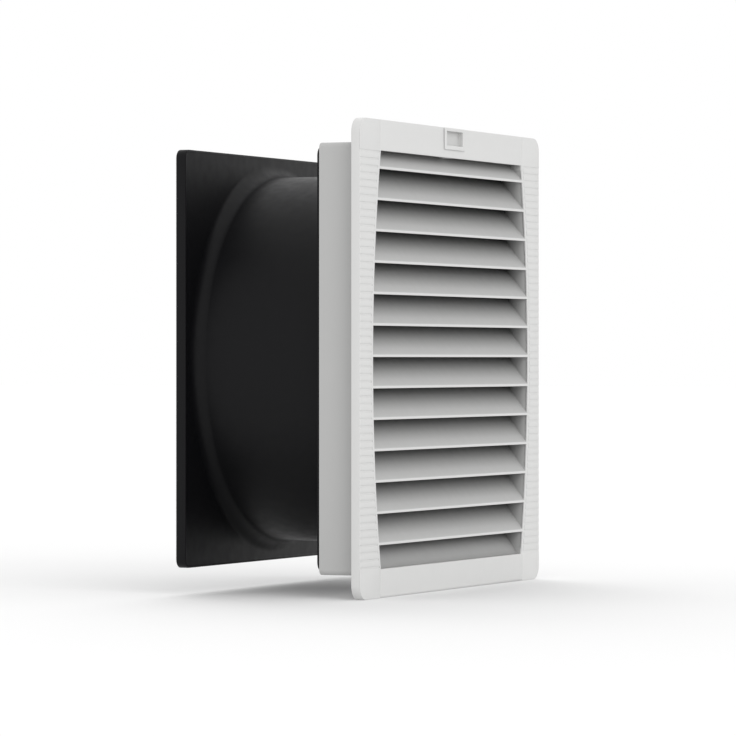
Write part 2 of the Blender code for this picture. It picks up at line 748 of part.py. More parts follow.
def hinge_roll():
    """The rounded foot of the cover, which turns about the hinge pins."""
    section = arc((HINGE_Y, HINGE_Z), COVER_ROLL_RADIUS, math.pi, 2 * math.pi, 8)
    section += [(COVER_BACK_Y, HINGE_Z + COVER_RIB), (FRONT_Y, HINGE_Z + COVER_RIB)]
    return slab(section, -COVER_BAR_HALF_WIDTH, COVER_BAR_HALF_WIDTH, plane=side_plane)


def make_louvre_cover(material):
    right = cover_side(0, HINGE_Z, HALF_FLANGE)
    field = [(FIELD_HALF_WIDTH_END, FIELD_BOTTOM)]
    field += field_side(0, FIELD_BOTTOM + COVER_JOG_HEIGHT, FIELD_TOP - COVER_JOG_HEIGHT)
    field.append((FIELD_HALF_WIDTH_END, FIELD_TOP))
    skin = slab(right + mirrored(right), FRONT_Y, FRONT_Y + COVER_SKIN, holes=[field + mirrored(field)])
    bmesh.ops.recalc_face_normals(skin, faces=skin.faces)
    round_edges(skin, lambda point: point.y < FRONT_Y + 1e-6 and point.z > HALF_FLANGE - 1e-6,
                FRONT_EDGE_BEVEL)
    cover = make_object("louvre_cover", skin, material)
    add(cover, hinge_roll(), bar_ribs(HINGE_Z, FIELD_BOTTOM), bar_ribs(FIELD_TOP, HALF_FLANGE))
    add(cover, side_rim(1), side_rim(-1), louvres(), stiffeners())
    return cut(cover, *cover_cuts())


def cover_cuts():
    """The latch window, the way for the latch arm and the holes for the hinge pins."""
    half = LATCH_NECK_HALF_WIDTH + GAP
    window = block((-half, FRONT_Y - 0.002, LATCH_NECK_BOTTOM - LATCH_TRAVEL - GAP),
                   (half, COVER_BACK_Y + 0.001, LATCH_NECK_TOP + GAP))
    half_arm = LATCH_ARM_WIDTH / 2 + GAP
    way = block((-half_arm, FRONT_Y + COVER_SKIN, LATCH_ARM_LOW - LATCH_TRAVEL - GAP),
                (half_arm, COVER_DEPTH_BEHIND_FLANGE / 2, FIELD_TOP + COVER_RIB + 2 * GAP))
    shapes = [window, way]
    for sign in (-1, 1):
        start = sign * (COVER_BAR_HALF_WIDTH + 0.001)
        end = sign * (COVER_BAR_HALF_WIDTH - HINGE_PIN_IN_COVER - 2 * GAP)
        hole = turned_to_x(rod(HINGE_PIN_RADIUS + GAP, min(start, end), max(start, end)))
        shapes.append(moved(hole, (0, HINGE_Y, HINGE_Z)))
    return shapes


def make_hinge_pins(material):
    for name, side in (("hinge_pin_left", -1), ("hinge_pin_right", 1)):
        inner = COVER_BAR_HALF_WIDTH - HINGE_PIN_IN_COVER
        ends = sorted((side * inner, side * (inner + HINGE_PIN_LENGTH)))
        pin = make_object(name, turned_to_x(rod(HINGE_PIN_RADIUS, ends[0], ends[1])), material)
        pin.location = (0, HINGE_Y, HINGE_Z)


# Latch

def latch_arm():
    """The arm under the button: down behind the bar, then back to a nose that points up."""
    nose_front = LATCH_NOSE_REACH - LATCH_NOSE_DEPTH
    top = HALF_BOX_INSIDE - LATCH_CATCH_GAP
    above = LATCH_ARM_LOW + LATCH_ARM_THICKNESS
    section = [
        (LATCH_PLATE_FRONT, LATCH_ARM_LOW), (LATCH_NOSE_REACH, LATCH_ARM_LOW),
        (LATCH_NOSE_REACH, top - LATCH_NOSE_DEPTH / 2), (nose_front + LATCH_NOSE_DEPTH / 2, top), (nose_front, top),
        (nose_front, above), (LATCH_PLATE_BACK, above), (LATCH_PLATE_BACK, LATCH_WING_BOTTOM),
        (LATCH_PLATE_FRONT, LATCH_WING_BOTTOM),
    ]
    return slab(section, -LATCH_ARM_WIDTH / 2, LATCH_ARM_WIDTH / 2, plane=side_plane)


def make_latch_button(material):
    """A framed face over the cover's window, with a recess, wings behind the bar and an arm with a nose."""
    half = LATCH_WIDTH / 2
    front = FRONT_Y - LATCH_PROUD
    face = slab(rectangle(-half, LATCH_BOTTOM, half, HALF_FLANGE), front, FRONT_Y - GAP)
    bmesh.ops.recalc_face_normals(face, faces=face.faces)
    round_edges(face, lambda point: point.y < front + GAP, LATCH_PROUD / 3)
    button = make_object("latch_button", face, material)
    neck = block((-LATCH_NECK_HALF_WIDTH, FRONT_Y - 2 * GAP, LATCH_NECK_BOTTOM),
                 (LATCH_NECK_HALF_WIDTH, LATCH_PLATE_BACK - GAP / 2, LATCH_NECK_TOP))
    wide = half + LATCH_WING_WIDTH
    wing_top = HALF_FLANGE - COVER_RIB - 3 * GAP
    wings = block((-wide, LATCH_PLATE_FRONT, LATCH_WING_BOTTOM), (wide, LATCH_PLATE_BACK, wing_top))
    add(button, neck, wings, latch_arm())
    recess = block((-half + LATCH_RING, front - 0.001, LATCH_BOTTOM + LATCH_RING_BELOW),
                   (half - LATCH_RING, FRONT_Y + LATCH_RECESS_FLOOR, HALF_FLANGE - LATCH_RING_ABOVE))
    return cut(button, recess)


def folded_strip(points, thickness):
    """Outline of a thin strip bent along a row of points."""
    left = []
    right = []
    for i, (u, v) in enumerate(points):
        before = Vector(points[max(i - 1, 0)])
        after = Vector(points[min(i + 1, len(points) - 1)])
        here = Vector((u, v))
        into = (here - before).normalized() if i > 0 else (after - here).normalized()
        out = (after - here).normalized() if i < len(points) - 1 else into
        across = Vector((-into.y - out.y, into.x + out.x)).normalized()
        reach = thickness / 2 / max(across.dot(Vector((-into.y, into.x))), 0.3)
        left.append(tuple(here + across * reach))
        right.append(tuple(here - across * reach))
    return left + right[::-1]


def make_latch_springs(material):
    """Two folded leaf springs that stand on the bar's lower rib and push the wings up."""
    foot = FIELD_TOP + GAP + COVER_RIB + GAP
    head = LATCH_WING_BOTTOM - GAP
    half = LATCH_SPRING_THICKNESS / 2
    near = LATCH_WIDTH / 2 + 2 * GAP + half + 0.001
    rise = (head - foot - LATCH_SPRING_THICKNESS) / LATCH_SPRING_FOLDS
    for name, side in (("latch_spring_left", -1), ("latch_spring_right", 1)):
        points = []
        for i in range(LATCH_SPRING_FOLDS + 1):
            x = near if i % 2 else near + LATCH_SPRING_WIDTH
            points.append((side * x, foot + half + i * rise))
        points.insert(0, (side * near, foot + half))
        points.append((side * (near + LATCH_SPRING_WIDTH / 2), head - half))
        outline = folded_strip(points, LATCH_SPRING_THICKNESS)
        make_object(name, slab(outline, LATCH_PLATE_FRONT, LATCH_PLATE_BACK), material)


# Filter mat and grille

def make_filter_mat(material):
    half = HALF_BOX_INSIDE - 2 * GAP
    outline = rounded_square(half, MAT_CORNER_RADIUS, 3)
    edge = MAT_EDGE_BEVEL
    loops = []
    for inset, y in ((edge, MAT_FRONT_Y), (0, MAT_FRONT_Y + edge),
                     (0, MAT_BACK_Y - edge), (edge, MAT_BACK_Y)):
        shrink = 1 - inset / half
        loops.append([front_plane(u * shrink, v * shrink, y) for u, v in outline])
    return make_object("filter_mat", loft(loops), material)


def make_filter_grille(material):
    """The slotted grille that the mat lies against; its corners clear the screw bosses."""
    half = HALF_BOX_INSIDE - GAP
    notch = HALF_BOX_INSIDE - BOSS_WIDTH - GAP
    outline = []
    for corner in range(4):
        for u, v in ((half, notch), (notch, notch), (notch, half)):
            for _ in range(corner):
                u, v = -v, u
            outline.append((u, v))
    pitch = GRILLE_SLOT_WIDTH + GRILLE_BAR_WIDTH
    columns = int((2 * half - GRILLE_BAR_WIDTH) / pitch)
    first = -(columns - 1) * pitch / 2
    reach = half - GRILLE_BORDER_Z
    row_height = (2 * reach - (GRILLE_ROW_COUNT - 1) * GRILLE_CROSS_BAR) / GRILLE_ROW_COUNT
    holes = []
    for column in range(columns):
        x = first + column * pitch
        for row in range(GRILLE_ROW_COUNT):
            low = -reach + row * (row_height + GRILLE_CROSS_BAR)
            holes.append(rectangle(x - GRILLE_SLOT_WIDTH / 2, low,
                                   x + GRILLE_SLOT_WIDTH / 2, low + row_height))
    return make_object("filter_grille", slab(outline, GRILLE_FRONT_Y, GRILLE_BACK_Y, holes=holes), material)


# Panel clips

def clip_outline():
    """Side view of an upper clip: a root in the box wall and a leaf that rises towards the panel."""
    root_low = HALF_BOX_INSIDE + GAP
    surface = HALF_BOX + GAP
    barb_y = PANEL_THICKNESS_MAX + CLIP_PANEL_GAP
    barb_low = surface + CLIP_BARB_RISE
    half_root = CLIP_THICKNESS / 2
    return [
        (CLIP_ROOT_Y - half_root, root_low), (CLIP_ROOT_Y + half_root, root_low),
        (CLIP_ROOT_Y + half_root, surface + CLIP_THICKNESS / 2),
        (CLIP_ROOT_Y, surface + CLIP_THICKNESS),
        (barb_y, barb_low + CLIP_THICKNESS), (barb_y, barb_low),
        (CLIP_ROOT_Y - half_root, surface),
    ]


def make_panel_clips(material):
    for row, sign_z in (("top", 1), ("bottom", -1)):
        for column, x in (("left", -CLIP_SPACING / 2), ("right", CLIP_SPACING / 2)):
            outline = [(y, sign_z * z) for y, z in clip_outline()]
            leaf = slab(outline, -CLIP_WIDTH / 2, CLIP_WIDTH / 2, plane=side_plane)
            clip = make_object("panel_clip_" + row + "_" + column, leaf, material)
            clip.location = (x, 0, 0)


# Fan housing

def duct_profile():
    """Wall section of the duct, from its front end to the flare at the rear plate."""
    inner = DUCT_RADIUS - DUCT_WALL
    crease_y = REAR_PLATE_Y - FLARE_LENGTH
    outer_curve = []
    inner_curve = []
    for i in range(4):
        share = i / 3
        bend = 1 - math.cos(share * math.pi / 2)
        outer_curve.append((DUCT_RADIUS + FLARE_RISE * (0.35 * share + 0.65 * bend),
                            crease_y + share * FLARE_LENGTH))
        inner_curve.append((inner + FLARE_RISE * bend,
                            crease_y + share * (FLARE_LENGTH + REAR_PLATE_THICKNESS)))
    profile = [(DUCT_RADIUS, HOUSING_FRONT_Y + HOUSING_FLANGE_THICKNESS / 2)] + outer_curve
    profile += [(FLARE_RADIUS, REAR_PLATE_BACK_Y)] + inner_curve[::-1]
    profile.append((inner, HOUSING_FRONT_Y + HOUSING_FLANGE_THICKNESS / 2))
    return profile


def make_fan_housing(material):
    half = HALF_HOUSING
    outline = rounded_square(half, HOUSING_CORNER_RADIUS, 3)
    middle_of_wall = DUCT_RADIUS - DUCT_WALL / 2
    flange = slab(outline, HOUSING_FRONT_Y, HOUSING_FLANGE_BACK_Y, holes=[circle(middle_of_wall, DUCT_STEPS)])
    housing = make_object("fan_housing", flange, material)
    plate_hole = circle(FLARE_RADIUS - DUCT_WALL / 4, DUCT_STEPS)
    plate = slab(outline, REAR_PLATE_Y, REAR_PLATE_BACK_Y, holes=[plate_hole])
    edge = FRONT_EDGE_BEVEL
    rim_start = REAR_PLATE_Y + REAR_PLATE_THICKNESS / 2
    rim = square_sleeve([
        (half, HOUSING_CORNER_RADIUS, rim_start),
        (half, HOUSING_CORNER_RADIUS, REAR_RIM_Y - edge),
        (half - edge, HOUSING_CORNER_RADIUS - edge, REAR_RIM_Y),
        (half - REAR_RIM_WALL, HOUSING_CORNER_RADIUS - REAR_RIM_WALL, REAR_RIM_Y),
        (half - REAR_RIM_WALL, HOUSING_CORNER_RADIUS - REAR_RIM_WALL, rim_start),
    ])
    add(housing, turned(duct_profile(), DUCT_STEPS), plate, rim)
    add(housing, *housing_ribs(), *guard_bosses(), *terminal_walls())
    return cut(housing, *housing_cuts())


def housing_ribs():
    """Two radial ribs behind each corner of the rear plate, from beside the guard to the rim."""
    shapes = []
    start = GUARD_RADIUS + HOUSING_RIB_GAP
    reach = (HALF_HOUSING - REAR_RIM_WALL / 2) / math.cos(math.radians(30))
    low = REAR_PLATE_Y + REAR_PLATE_THICKNESS / 2
    for corner in range(4):
        for offset in (30, 60):
            angle = math.radians(corner * 90 + offset)
            half = HOUSING_RIB / 2
            bm = block((start, low, -half), (reach, REAR_RIM_Y - 2 * GAP, half))
            bmesh.ops.rotate(bm, verts=bm.verts, cent=(0, 0, 0), matrix=Matrix.Rotation(-angle, 3, "Y"))
            shapes.append(bm)
    return shapes


def guard_bosses():
    shapes = []
    for x in (-GUARD_SCREW_PLACE, GUARD_SCREW_PLACE):
        for z in (-GUARD_SCREW_PLACE, GUARD_SCREW_PLACE):
            shapes.append(rod(SCREW_BOSS_RADIUS, REAR_PLATE_Y + REAR_PLATE_THICKNESS / 2, GUARD_LUG_FRONT_Y - GAP, 14,
                              (x, z)))
    return shapes


def terminal_centre():
    return (TERMINAL_CENTRE, -TERMINAL_CENTRE)


def lid_screw_place():
    """Centre of the lid's screw, in the outer corner of the compartment."""
    reach = TERMINAL_HIGH - TERMINAL_WALL - LID_SCREW_INSET
    return (reach, -reach)


def terminal_walls():
    """The walls of the terminal compartment and its screw boss, moulded on the front flange."""
    half = TERMINAL_SIZE / 2
    start = HOUSING_FLANGE_BACK_Y - HOUSING_FLANGE_THICKNESS / 2
    end = HOUSING_FLANGE_BACK_Y + TERMINAL_DEPTH
    inside = (half - TERMINAL_WALL, TERMINAL_CORNER_RADIUS - TERMINAL_WALL)
    walls = square_sleeve([
        (half, TERMINAL_CORNER_RADIUS, start), (half, TERMINAL_CORNER_RADIUS, end), (*inside, end), (*inside, start),
    ], centre=terminal_centre())
    boss = rod(SCREW_BOSS_RADIUS, start, end - GAP, 12, lid_screw_place())
    return [walls, boss]


def lead_angle():
    return math.radians(-45)


def housing_cuts():
    shapes = []
    for x in (-HOUSING_SCREW_PLACE, HOUSING_SCREW_PLACE):
        for z in (-HOUSING_SCREW_PLACE, HOUSING_SCREW_PLACE):
            shapes.append(moved(sunk_screw_hole(), (x, HOUSING_FLANGE_BACK_Y, z)))
    for x in (-GUARD_SCREW_PLACE, GUARD_SCREW_PLACE):
        for z in (-GUARD_SCREW_PLACE, GUARD_SCREW_PLACE):
            shapes.append(rod(SCREW_HOLE_RADIUS, REAR_PLATE_Y + GUARD_SCREW_HOLE_FLOOR, REAR_RIM_Y,
                              centre=(x, z)))
    screw_x, screw_z = lid_screw_place()
    end = HOUSING_FLANGE_BACK_Y + TERMINAL_DEPTH
    shapes.append(rod(SCREW_HOLE_RADIUS * LID_SCREW_SCALE, end - 0.010, end + 0.001, 10, (screw_x, screw_z)))
    shapes.append(grommet_hole())
    half = LEAD_RADIUS + 2 * GAP
    channel = block((DUCT_RADIUS, lead_depth() - half, -half),
                    (lead_turn_radius() + LEAD_BEND_RADIUS + half, REAR_RIM_Y, half))
    bmesh.ops.rotate(channel, verts=channel.verts, cent=(0, 0, 0),
                     matrix=Matrix.Rotation(-lead_angle(), 3, "Y"))
    shapes.append(channel)
    return shapes


def sunk_screw_hole():
    """A screw hole through the front flange, widened for a countersunk head at the origin."""
    wide = SUNK_HEAD_RADIUS + GAP
    profile = [(0, -HOUSING_FLANGE_THICKNESS - 0.001), (SCREW_HOLE_RADIUS, -HOUSING_FLANGE_THICKNESS - 0.001),
               (SCREW_HOLE_RADIUS, -SUNK_HEAD_HEIGHT - GAP), (wide, 0), (wide, 0.001), (0, 0.001)]
    return turned(profile, SCREW_STEPS, closed=False)


def grommet_place():
    """Middle of the compartment's lower wall, where the supply cable comes in."""
    x, z = terminal_centre()
    return (x, HOUSING_FLANGE_BACK_Y + TERMINAL_DEPTH * 0.55, z - TERMINAL_SIZE / 2 + TERMINAL_WALL / 2)


def grommet_hole():
    x, y, z = grommet_place()
    reach = 1.5 * TERMINAL_WALL
    return slab(circle(GROMMET_RADIUS - GROMMET_GROOVE, 16, (x, y)), z - reach, z + reach, plane=plan_plane)


def make_cable_grommet(material):
    """A rubber grommet that grips the compartment's wall on both sides."""
    groove = GROMMET_RADIUS - GROMMET_GROOVE - GAP
    half_wall = TERMINAL_WALL / 2 + GAP
    lip = half_wall + GROMMET_LIP
    profile = [(GROMMET_BORE, -lip), (GROMMET_RADIUS, -lip), (GROMMET_RADIUS, -half_wall), (groove, -half_wall),
               (groove, half_wall), (GROMMET_RADIUS, half_wall), (GROMMET_RADIUS, lip), (GROMMET_BORE, lip)]
    bm = turned(profile, SMALL_STEPS)
    bmesh.ops.rotate(bm, verts=bm.verts, cent=(0, 0, 0), matrix=Matrix.Rotation(math.pi / 2, 3, "X"))
    grommet = make_object("cable_grommet", bm, material)
    grommet.location = grommet_place()


def make_terminal_block(material):
    """A stepped three-pole block with screw wells on top and wire holes in front."""
    x, z = terminal_centre()
    base = HOUSING_FLANGE_BACK_Y + GAP
    low_z = z - TERMINAL_BLOCK_LENGTH / 3
    top = base + TERMINAL_BLOCK_HEIGHT
    step = base + TERMINAL_BLOCK_STEP
    half_way = low_z + TERMINAL_BLOCK_LENGTH / 2
    end = low_z + TERMINAL_BLOCK_LENGTH
    section = [(base, low_z), (top, low_z), (top, half_way), (step, half_way + 2 * GAP),
               (step, end), (base, end)]
    half = TERMINAL_SIZE / 2 - TERMINAL_WALL - TERMINAL_BLOCK_SIDE_GAP
    bm = slab(section, -half, half, plane=side_plane)
    terminal = make_object("terminal_block", bm, material)
    holes = []
    for i in (-1, 0, 1):
        centre = (i * half * TERMINAL_WELL_SPACING, (low_z + half_way) / 2)
        holes.append(rod(TERMINAL_WELL_RADIUS, step, top + 2 * GAP, 8, centre))
    cut(terminal, *holes)
    terminal.location = (x, 0, 0)


def make_terminal_lid(material):
    x, z = terminal_centre()
    start = HOUSING_FLANGE_BACK_Y + TERMINAL_DEPTH + GAP
    half = TERMINAL_SIZE / 2
    lead = lead_turn_radius() + LEAD_BEND_RADIUS
    lead_place = (lead * math.cos(lead_angle()), lead * math.sin(lead_angle()))
    holes = [circle(LEAD_RADIUS + GAP, 10, lead_place),
             circle(SCREW_HOLE_RADIUS * LID_SCREW_SCALE, 10, lid_screw_place())]
    bm = slab(rounded_square(half, TERMINAL_CORNER_RADIUS, 3, (x, z)), start, start + TERMINAL_WALL, holes=holes)
    return make_object("terminal_lid", bm, material)


# Motor lead

def lead_depth():
    """Depth of the lead where it lies along the guard."""
    return GUARD_FRONT_Y - GAP - LEAD_RADIUS - GAP / 2


def lead_turn_radius():
    """Distance from the fan's axis at which the lead starts its bend."""
    return FLARE_RADIUS + LEAD_TURN_GAP


def make_motor_lead(material):
    """The lead runs out along the guard, bends through the rear plate and forward into the compartment."""
    start = MOTOR_FLANGE_RADIUS + GAP
    turn = lead_turn_radius()
    depth = lead_depth()
    route = [(start + (turn - start) * i / 6, depth) for i in range(7)]
    for i in range(1, 9):
        angle = math.pi / 2 * i / 8
        route.append((turn + LEAD_BEND_RADIUS * math.sin(angle),
                      depth - LEAD_BEND_RADIUS * (1 - math.cos(angle))))
    end = HOUSING_FLANGE_BACK_Y + TERMINAL_DEPTH - LEAD_END_GAP
    after_bend = depth - LEAD_BEND_RADIUS
    route += [(turn + LEAD_BEND_RADIUS, after_bend + (end - after_bend) * i / 4) for i in range(1, 5)]
    return make_object("motor_lead", swept_lead(route), material)


def swept_lead(route):
    """A round lead along (radius, depth) points in the plane through the fan's axis at the lead's angle."""
    outward = Vector((math.cos(lead_angle()), 0, math.sin(lead_angle())))
    back = Vector((0, 1, 0))
    across = outward.cross(back)
    loops = []
    for i, (radius, depth) in enumerate(route):
        before = route[max(i - 1, 0)]
        after = route[min(i + 1, len(route) - 1)]
        along = Vector((after[0] - before[0], after[1] - before[1])).normalized()
        normal = outward * -along.y + back * along.x
        centre = outward * radius + back * depth
        loops.append([centre + normal * u + across * v for u, v in circle(LEAD_RADIUS, 8)])
    return loft(loops)


# Rear guard

def guard_lugs():
    """A thin lug with a rounded end towards each corner screw."""
    shapes = []
    half = GUARD_LUG_WIDTH / 2
    for x in (-GUARD_SCREW_PLACE, GUARD_SCREW_PLACE):
        for z in (-GUARD_SCREW_PLACE, GUARD_SCREW_PLACE):
            middle = math.atan2(z, x)
            outline = arc((x, z), half, middle - math.pi / 2, middle + math.pi / 2, 6)
            start = Vector((math.cos(middle), math.sin(middle))) * (GUARD_RADIUS - GUARD_BAND_WIDTH / 2)
            across = Vector((-math.sin(middle), math.cos(middle))) * half
            outline += [tuple(start + across), tuple(start - across)]
            hole = circle(SCREW_HOLE_RADIUS, 10, (x, z))
            shapes.append(slab(outline, GUARD_LUG_FRONT_Y, GUARD_BACK_Y - GAP / 3, holes=[hole]))
    return shapes


def guard_window(inner, outer, start, end):
    """One opening between two rings and two swirled spokes."""
    steps = 3 if outer < GUARD_RADIUS * 0.6 else 4

    def bound(radius, angle, side):
        swirl = GUARD_SWIRL * (radius - GUARD_HUB_RADIUS) / (GUARD_OPEN_RADIUS - GUARD_HUB_RADIUS)
        return angle + swirl + side * GUARD_SPOKE_WIDTH / 2 / radius

    points = arc((0, 0), outer, bound(outer, start, 1), bound(outer, end, -1), steps)
    points += arc((0, 0), inner, bound(inner, end, -1), bound(inner, start, 1), steps)
    return points


def make_rear_guard(material):
    """Rings and swirled spokes round the plate that carries the motor."""
    holes = []
    pitch = (GUARD_OPEN_RADIUS + GUARD_RING_WIDTH - GUARD_HUB_RADIUS) / GUARD_RING_COUNT
    for ring in range(GUARD_RING_COUNT):
        inner = GUARD_HUB_RADIUS + ring * pitch
        outer = inner + pitch - GUARD_RING_WIDTH
        for spoke in range(GUARD_SPOKE_COUNT):
            start = 2 * math.pi * spoke / GUARD_SPOKE_COUNT
            holes.append(guard_window(inner, outer, start, start + 2 * math.pi / GUARD_SPOKE_COUNT))
    for x, z in motor_screw_places():
        holes.append(circle(SCREW_HOLE_RADIUS, 10, (x, z)))
    disc = slab(circle(GUARD_RADIUS, DUCT_STEPS), GUARD_FRONT_Y, GUARD_BACK_Y, holes=holes)
    return add(make_object("rear_guard", disc, material), *guard_lugs())


# Motor

def motor_screw_places():
    turn = math.radians(47)
    return arc((0, 0), MOTOR_SCREW_CIRCLE_RADIUS, turn, turn + 2 * math.pi, 4)[:-1]


def bearing_seats():
    """Depths at which the two bearings start, front one first."""
    return (TUBE_FRONT_Y + GAP, MOTOR_FRONT_Y - BEARING_WIDTH)


def make_motor_flange(material):
    """The cast flange that the guard carries, with the bearing tube on its front."""
    seat = BEARING_OUTER_RADIUS + GAP
    front_stop = bearing_seats()[0] + BEARING_WIDTH + GAP
    rear_stop = bearing_seats()[1] - GAP
    edge = 0.001
    profile = [
        (seat, MOTOR_BACK_Y), (MOTOR_FLANGE_RADIUS - edge, MOTOR_BACK_Y), (MOTOR_FLANGE_RADIUS, MOTOR_BACK_Y - edge),
        (MOTOR_FLANGE_RADIUS, MOTOR_FRONT_Y), (BEARING_TUBE_RADIUS + 0.003, MOTOR_FRONT_Y),
        (BEARING_TUBE_RADIUS, MOTOR_FRONT_Y - 0.003), (BEARING_TUBE_RADIUS, TUBE_FRONT_Y),
        (seat, TUBE_FRONT_Y), (seat, front_stop), (BEARING_TUBE_BORE, front_stop),
        (BEARING_TUBE_BORE, rear_stop), (seat, rear_stop),
    ]
    flange = make_object("motor_flange", turned(profile, MOTOR_STEPS), material)
    holes = []
    for x, z in motor_screw_places():
        holes.append(rod(SCREW_HOLE_RADIUS, MOTOR_BACK_Y - 0.005, MOTOR_BACK_Y + 0.001, 10, (x, z)))
    return cut(flange, *holes)


def make_bearings(material):
    """Two ball bearings, with the seal's shallow step between the rings."""
    for name, start in zip(("bearing_front", "bearing_rear"), bearing_seats()):
        end = start + BEARING_WIDTH
        step = 0.0004
        race = 0.0018
        inner = BEARING_INNER_RADIUS
        outer = BEARING_OUTER_RADIUS
        profile = [
            (inner, start), (inner, end), (inner + race, end), (inner + race, end - step),
            (outer - race, end - step), (outer - race, end), (outer, end), (outer, start),
            (outer - race, start), (outer - race, start + step), (inner + race, start + step), (inner + race, start),
        ]
        make_object(name, turned(profile[::-1], SMALL_STEPS), material)


def stator_span():
    """Depths between which the stator core lies on the bearing tube."""
    middle = (TUBE_FRONT_Y + MOTOR_FRONT_Y) / 2 - 0.001
    return (middle - STATOR_LENGTH / 2, middle + STATOR_LENGTH / 2)


def make_stator(core_material, winding_material):
    start, end = stator_span()
    bore = BEARING_TUBE_RADIUS + GAP
    core = turned([(bore, end), (STATOR_RADIUS, end), (STATOR_RADIUS, start), (bore, start)], MOTOR_STEPS)
    make_object("stator_core", core, core_material)
    low = BEARING_TUBE_RADIUS + 0.005
    high = STATOR_RADIUS - 0.002
    round_off = 0.0025
    for name, base, direction in (("stator_winding_front", start - GAP, -1),
                                  ("stator_winding_rear", end + GAP, 1)):
        top = base + direction * WINDING_HEIGHT
        shoulder = top - direction * round_off
        profile = [(low, base), (high, base), (high, shoulder), (high - round_off, top), (low + round_off, top),
                   (low, shoulder)]
        make_object(name, turned(profile, MOTOR_STEPS), winding_material)


def make_rotor(can_material, core_material, shaft_material):
    inside = ROTOR_RADIUS - ROTOR_CAN_WALL
    hub = 0.009
    edge = 0.002
    face_back = ROTOR_FRONT_Y + ROTOR_CAN_FACE
    profile = [
        (SHAFT_HOLE_RADIUS, ROTOR_FRONT_Y), (SHAFT_HOLE_RADIUS, face_back + 0.0025), (hub, face_back + 0.0025),
        (hub, face_back), (inside, face_back), (inside, ROTOR_BACK_Y), (ROTOR_RADIUS, ROTOR_BACK_Y),
        (ROTOR_RADIUS, ROTOR_FRONT_Y + edge), (ROTOR_RADIUS - edge, ROTOR_FRONT_Y),
    ]
    can = make_object("rotor_can", turned(profile, HUB_STEPS), can_material)
    holes = []
    for x, z in impeller_screw_places():
        holes.append(rod(SCREW_HOLE_RADIUS, ROTOR_FRONT_Y - 0.001, face_back + 0.001, 10, (x, z)))
    cut(can, *holes)
    start, end = stator_span()
    bore = STATOR_RADIUS + AIR_GAP
    ring = turned([(bore, end), (bore + ROTOR_CORE_WALL, end), (bore + ROTOR_CORE_WALL, start),
                   (bore, start)], HUB_STEPS)
    make_object("rotor_core", ring, core_material)
    shaft_end = MOTOR_FRONT_Y + 0.003
    edge = 0.0004
    shaft = [(0, ROTOR_FRONT_Y), (SHAFT_RADIUS, ROTOR_FRONT_Y), (SHAFT_RADIUS, shaft_end - edge),
             (SHAFT_RADIUS - edge, shaft_end), (0, shaft_end)]
    make_object("rotor_shaft", turned(shaft, SMALL_STEPS, closed=False), shaft_material)
    ring_y = MOTOR_FRONT_Y + GAP
    retainer = turned([(SHAFT_HOLE_RADIUS, ring_y + 0.001), (0.0065, ring_y + 0.001), (0.0065, ring_y),
                       (SHAFT_HOLE_RADIUS, ring_y)], SMALL_STEPS)
    make_object("shaft_retaining_ring", retainer, shaft_material)


# Impeller

def impeller_screw_places():
    turn = math.radians(32)
    return arc((0, 0), IMPELLER_SCREW_CIRCLE_RADIUS, turn, turn + 2 * math.pi, 3)[:-1]


def blade_loop(radius, root_radius):
    """One blade section, laid on a cylinder of the given radius."""
    share = (radius - root_radius) / (BLADE_TIP_RADIUS - root_radius)
    chord = BLADE_CHORD_ROOT + (BLADE_CHORD_TIP - BLADE_CHORD_ROOT) * share
    stagger = BLADE_STAGGER_ROOT + (BLADE_STAGGER_TIP - BLADE_STAGGER_ROOT) * share
    camber = BLADE_CAMBER * (1 - 0.4 * share)
    sweep = BLADE_SWEEP * share ** 1.6
    middle = HUB_FRONT_Y + HUB_LENGTH / 2 + 0.001
    stations = [0, 0.08, 0.3, 0.6, 0.86, 1]
    upper = []
    lower = []
    for s in stations:
        line = 4 * camber * s * (1 - s)
        half = BLADE_THICKNESS_RATIO / 2 * (2.6 * math.sqrt(s) * (1 - s) + 0.18)
        upper.append((s - 0.5, line + half))
        lower.append((s - 0.5, line - half))
    loop = []
    for along, across in upper + lower[::-1]:
        tangent = chord * (along * math.sin(stagger) + across * math.cos(stagger))
        axial = chord * (along * math.cos(stagger) - across * math.sin(stagger))
        angle = tangent / radius + sweep
        loop.append(Vector((radius * math.cos(angle), middle + axial, radius * math.sin(angle))))
    return loop


def blades():
    bm = bmesh.new()
    root = HUB_RADIUS - HUB_WALL / 2
    spans = [root + (BLADE_TIP_RADIUS - root) * share for share in (0, 0.2, 0.42, 0.65, 0.85, 1)]
    for i in range(BLADE_COUNT):
        turn = Matrix.Rotation(2 * math.pi * i / BLADE_COUNT, 3, "Y")
        loops = [[turn @ point for point in blade_loop(radius, root)] for radius in spans]
        loft(loops, bm=bm, curved_ends=True)
    return bm


def make_impeller(material):
    """A cup that sits over the rotor can, with twisted and swept blades."""
    back = HUB_FRONT_Y + HUB_LENGTH
    inside_front = HUB_FRONT_Y + HUB_FACE
    corner = arc((HUB_RADIUS - HUB_EDGE_RADIUS, HUB_FRONT_Y + HUB_EDGE_RADIUS), HUB_EDGE_RADIUS,
                 0, -math.pi / 2, 3)
    profile = [(0, inside_front), (HUB_INSIDE_RADIUS, inside_front), (HUB_INSIDE_RADIUS, back),
               (HUB_RADIUS, back)]
    profile += corner + [(0, HUB_FRONT_Y)]
    impeller = make_object("impeller", turned(profile, HUB_STEPS, closed=False), material)
    add(impeller, blades())
    holes = []
    for x, z in impeller_screw_places():
        holes.append(rod(SCREW_HOLE_RADIUS, HUB_FRONT_Y - 0.001, inside_front + 0.001, 10, (x, z)))
    return cut(impeller, *holes)


# Screws

